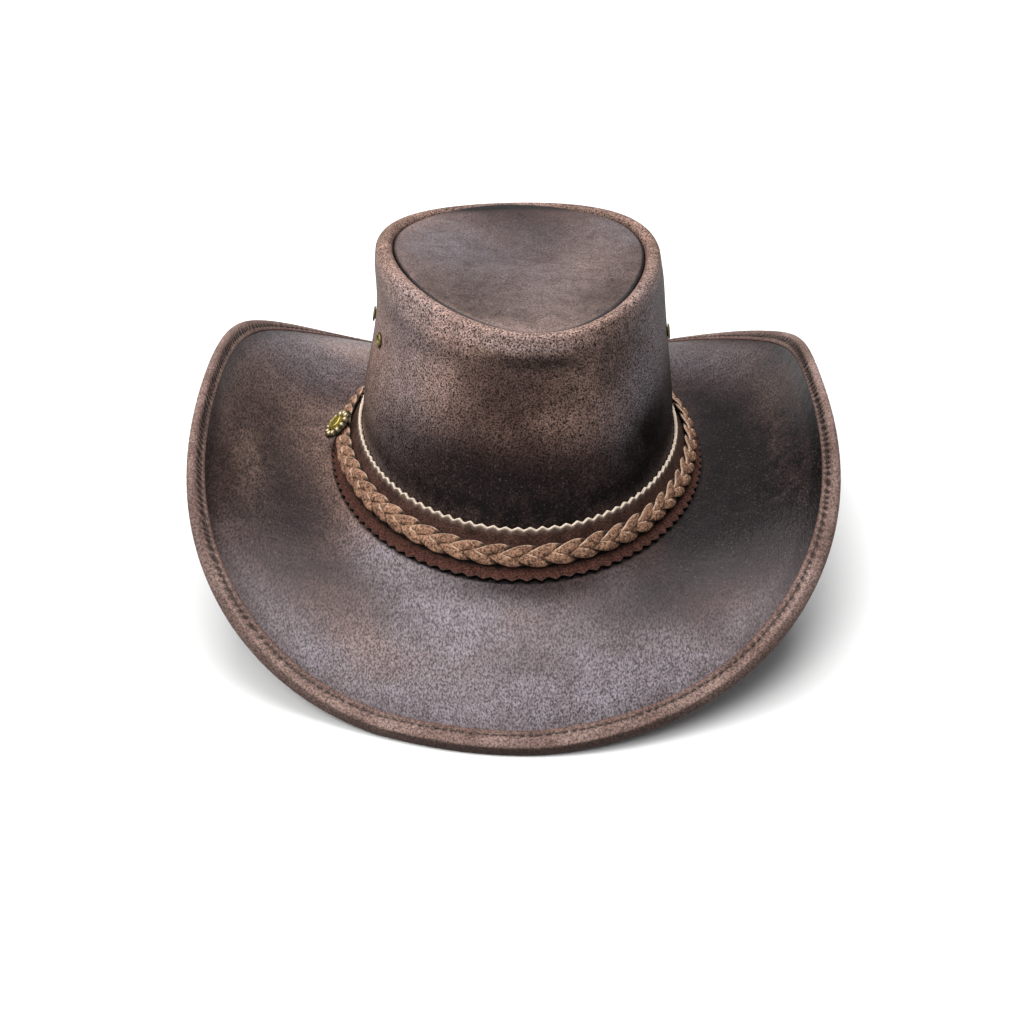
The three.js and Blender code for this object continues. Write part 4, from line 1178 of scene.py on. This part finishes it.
def studio():
    """A dim grey room, a large softbox overhead, one high in front, one at the left and a floor wash."""
    world = bpy.data.worlds.new("white_room")
    bpy.context.scene.world = world
    world.use_nodes = True
    world.node_tree.nodes.clear()
    sky = add(world.node_tree, "ShaderNodeBackground", {"Color": colour("#f4f6fb"), "Strength": 0.25})
    add(world.node_tree, "ShaderNodeOutputWorld", {"Surface": sky})
    for name, box in SOFTBOXES.items():
        soft_light("softbox_" + name, **box)
    floor_wash()
    bpy.context.scene.view_settings.view_transform = "Standard"
    bpy.context.scene.view_settings.look = "None"


def camera():
    """A camera on a line back from its aim: back = (sin a cos e, -cos a cos e, sin e), then rolled."""
    azimuth, elevation, roll = (math.radians(CAMERA[key]) for key in ("azimuth", "elevation", "roll"))
    across = math.cos(elevation)
    back = np.array([math.sin(azimuth) * across, -math.cos(azimuth) * across, math.sin(elevation)])
    right = np.array([math.cos(azimuth), math.sin(azimuth), 0.0])
    up = np.cross(back, right)
    aim = right * AIM["right"] + up * AIM["up"] + HAT_PLACE
    side = right * math.cos(roll) + up * math.sin(roll)
    head = np.cross(back, side)
    place = (aim + back * CAMERA["distance"]) * MM
    lens = bpy.data.cameras.new("photo_camera")
    lens.lens = CAMERA["lens"]
    lens.clip_start, lens.clip_end = 0.05, 50.0
    eye = new_object("photo_camera", lens)
    eye.matrix_world = Matrix([[side[i], head[i], back[i], place[i]] for i in range(3)] + [[0, 0, 0, 1]])
    bpy.context.scene.camera = eye


brass = aged_brass()
wall_leather = waxed_leather("waxed_cowhide_wall", shine=0.12, dull=0.55, stretch=1.0, contrast=0.95)
drill_eyelet_holes(crown_side(wall_leather))
crown_tip(waxed_leather("waxed_cowhide_tip", shine=0.25, dull=0.45, stretch=1.0, contrast=0.5))
brim(waxed_leather("waxed_cowhide_brim", shine=0.25, dull=0.4, stretch=2.6, contrast=0.68))
binding(binding_leather())
binding_stitches(waxed_thread())
hat_band(suede("dark_brown_suede", "#2b1c16", "#453028", edge="#dccbb8", worn_low="#472b24", layers=3.0))
braid_laces(suede("tan_suede_lace", "#684c3d", "#8b6a55", edge="#c6aa94", worn_low="#684c3d", layers=1.0))
concho(brass)
for name, turn in EYELETS.items():
    eyelet(name, turn, brass)
pale_floor()
studio()
camera()

boxes = {"cad_box": cad_box, "visual_box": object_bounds()}
boxes = {name: [list(corner) for corner in box] for name, box in boxes.items()}
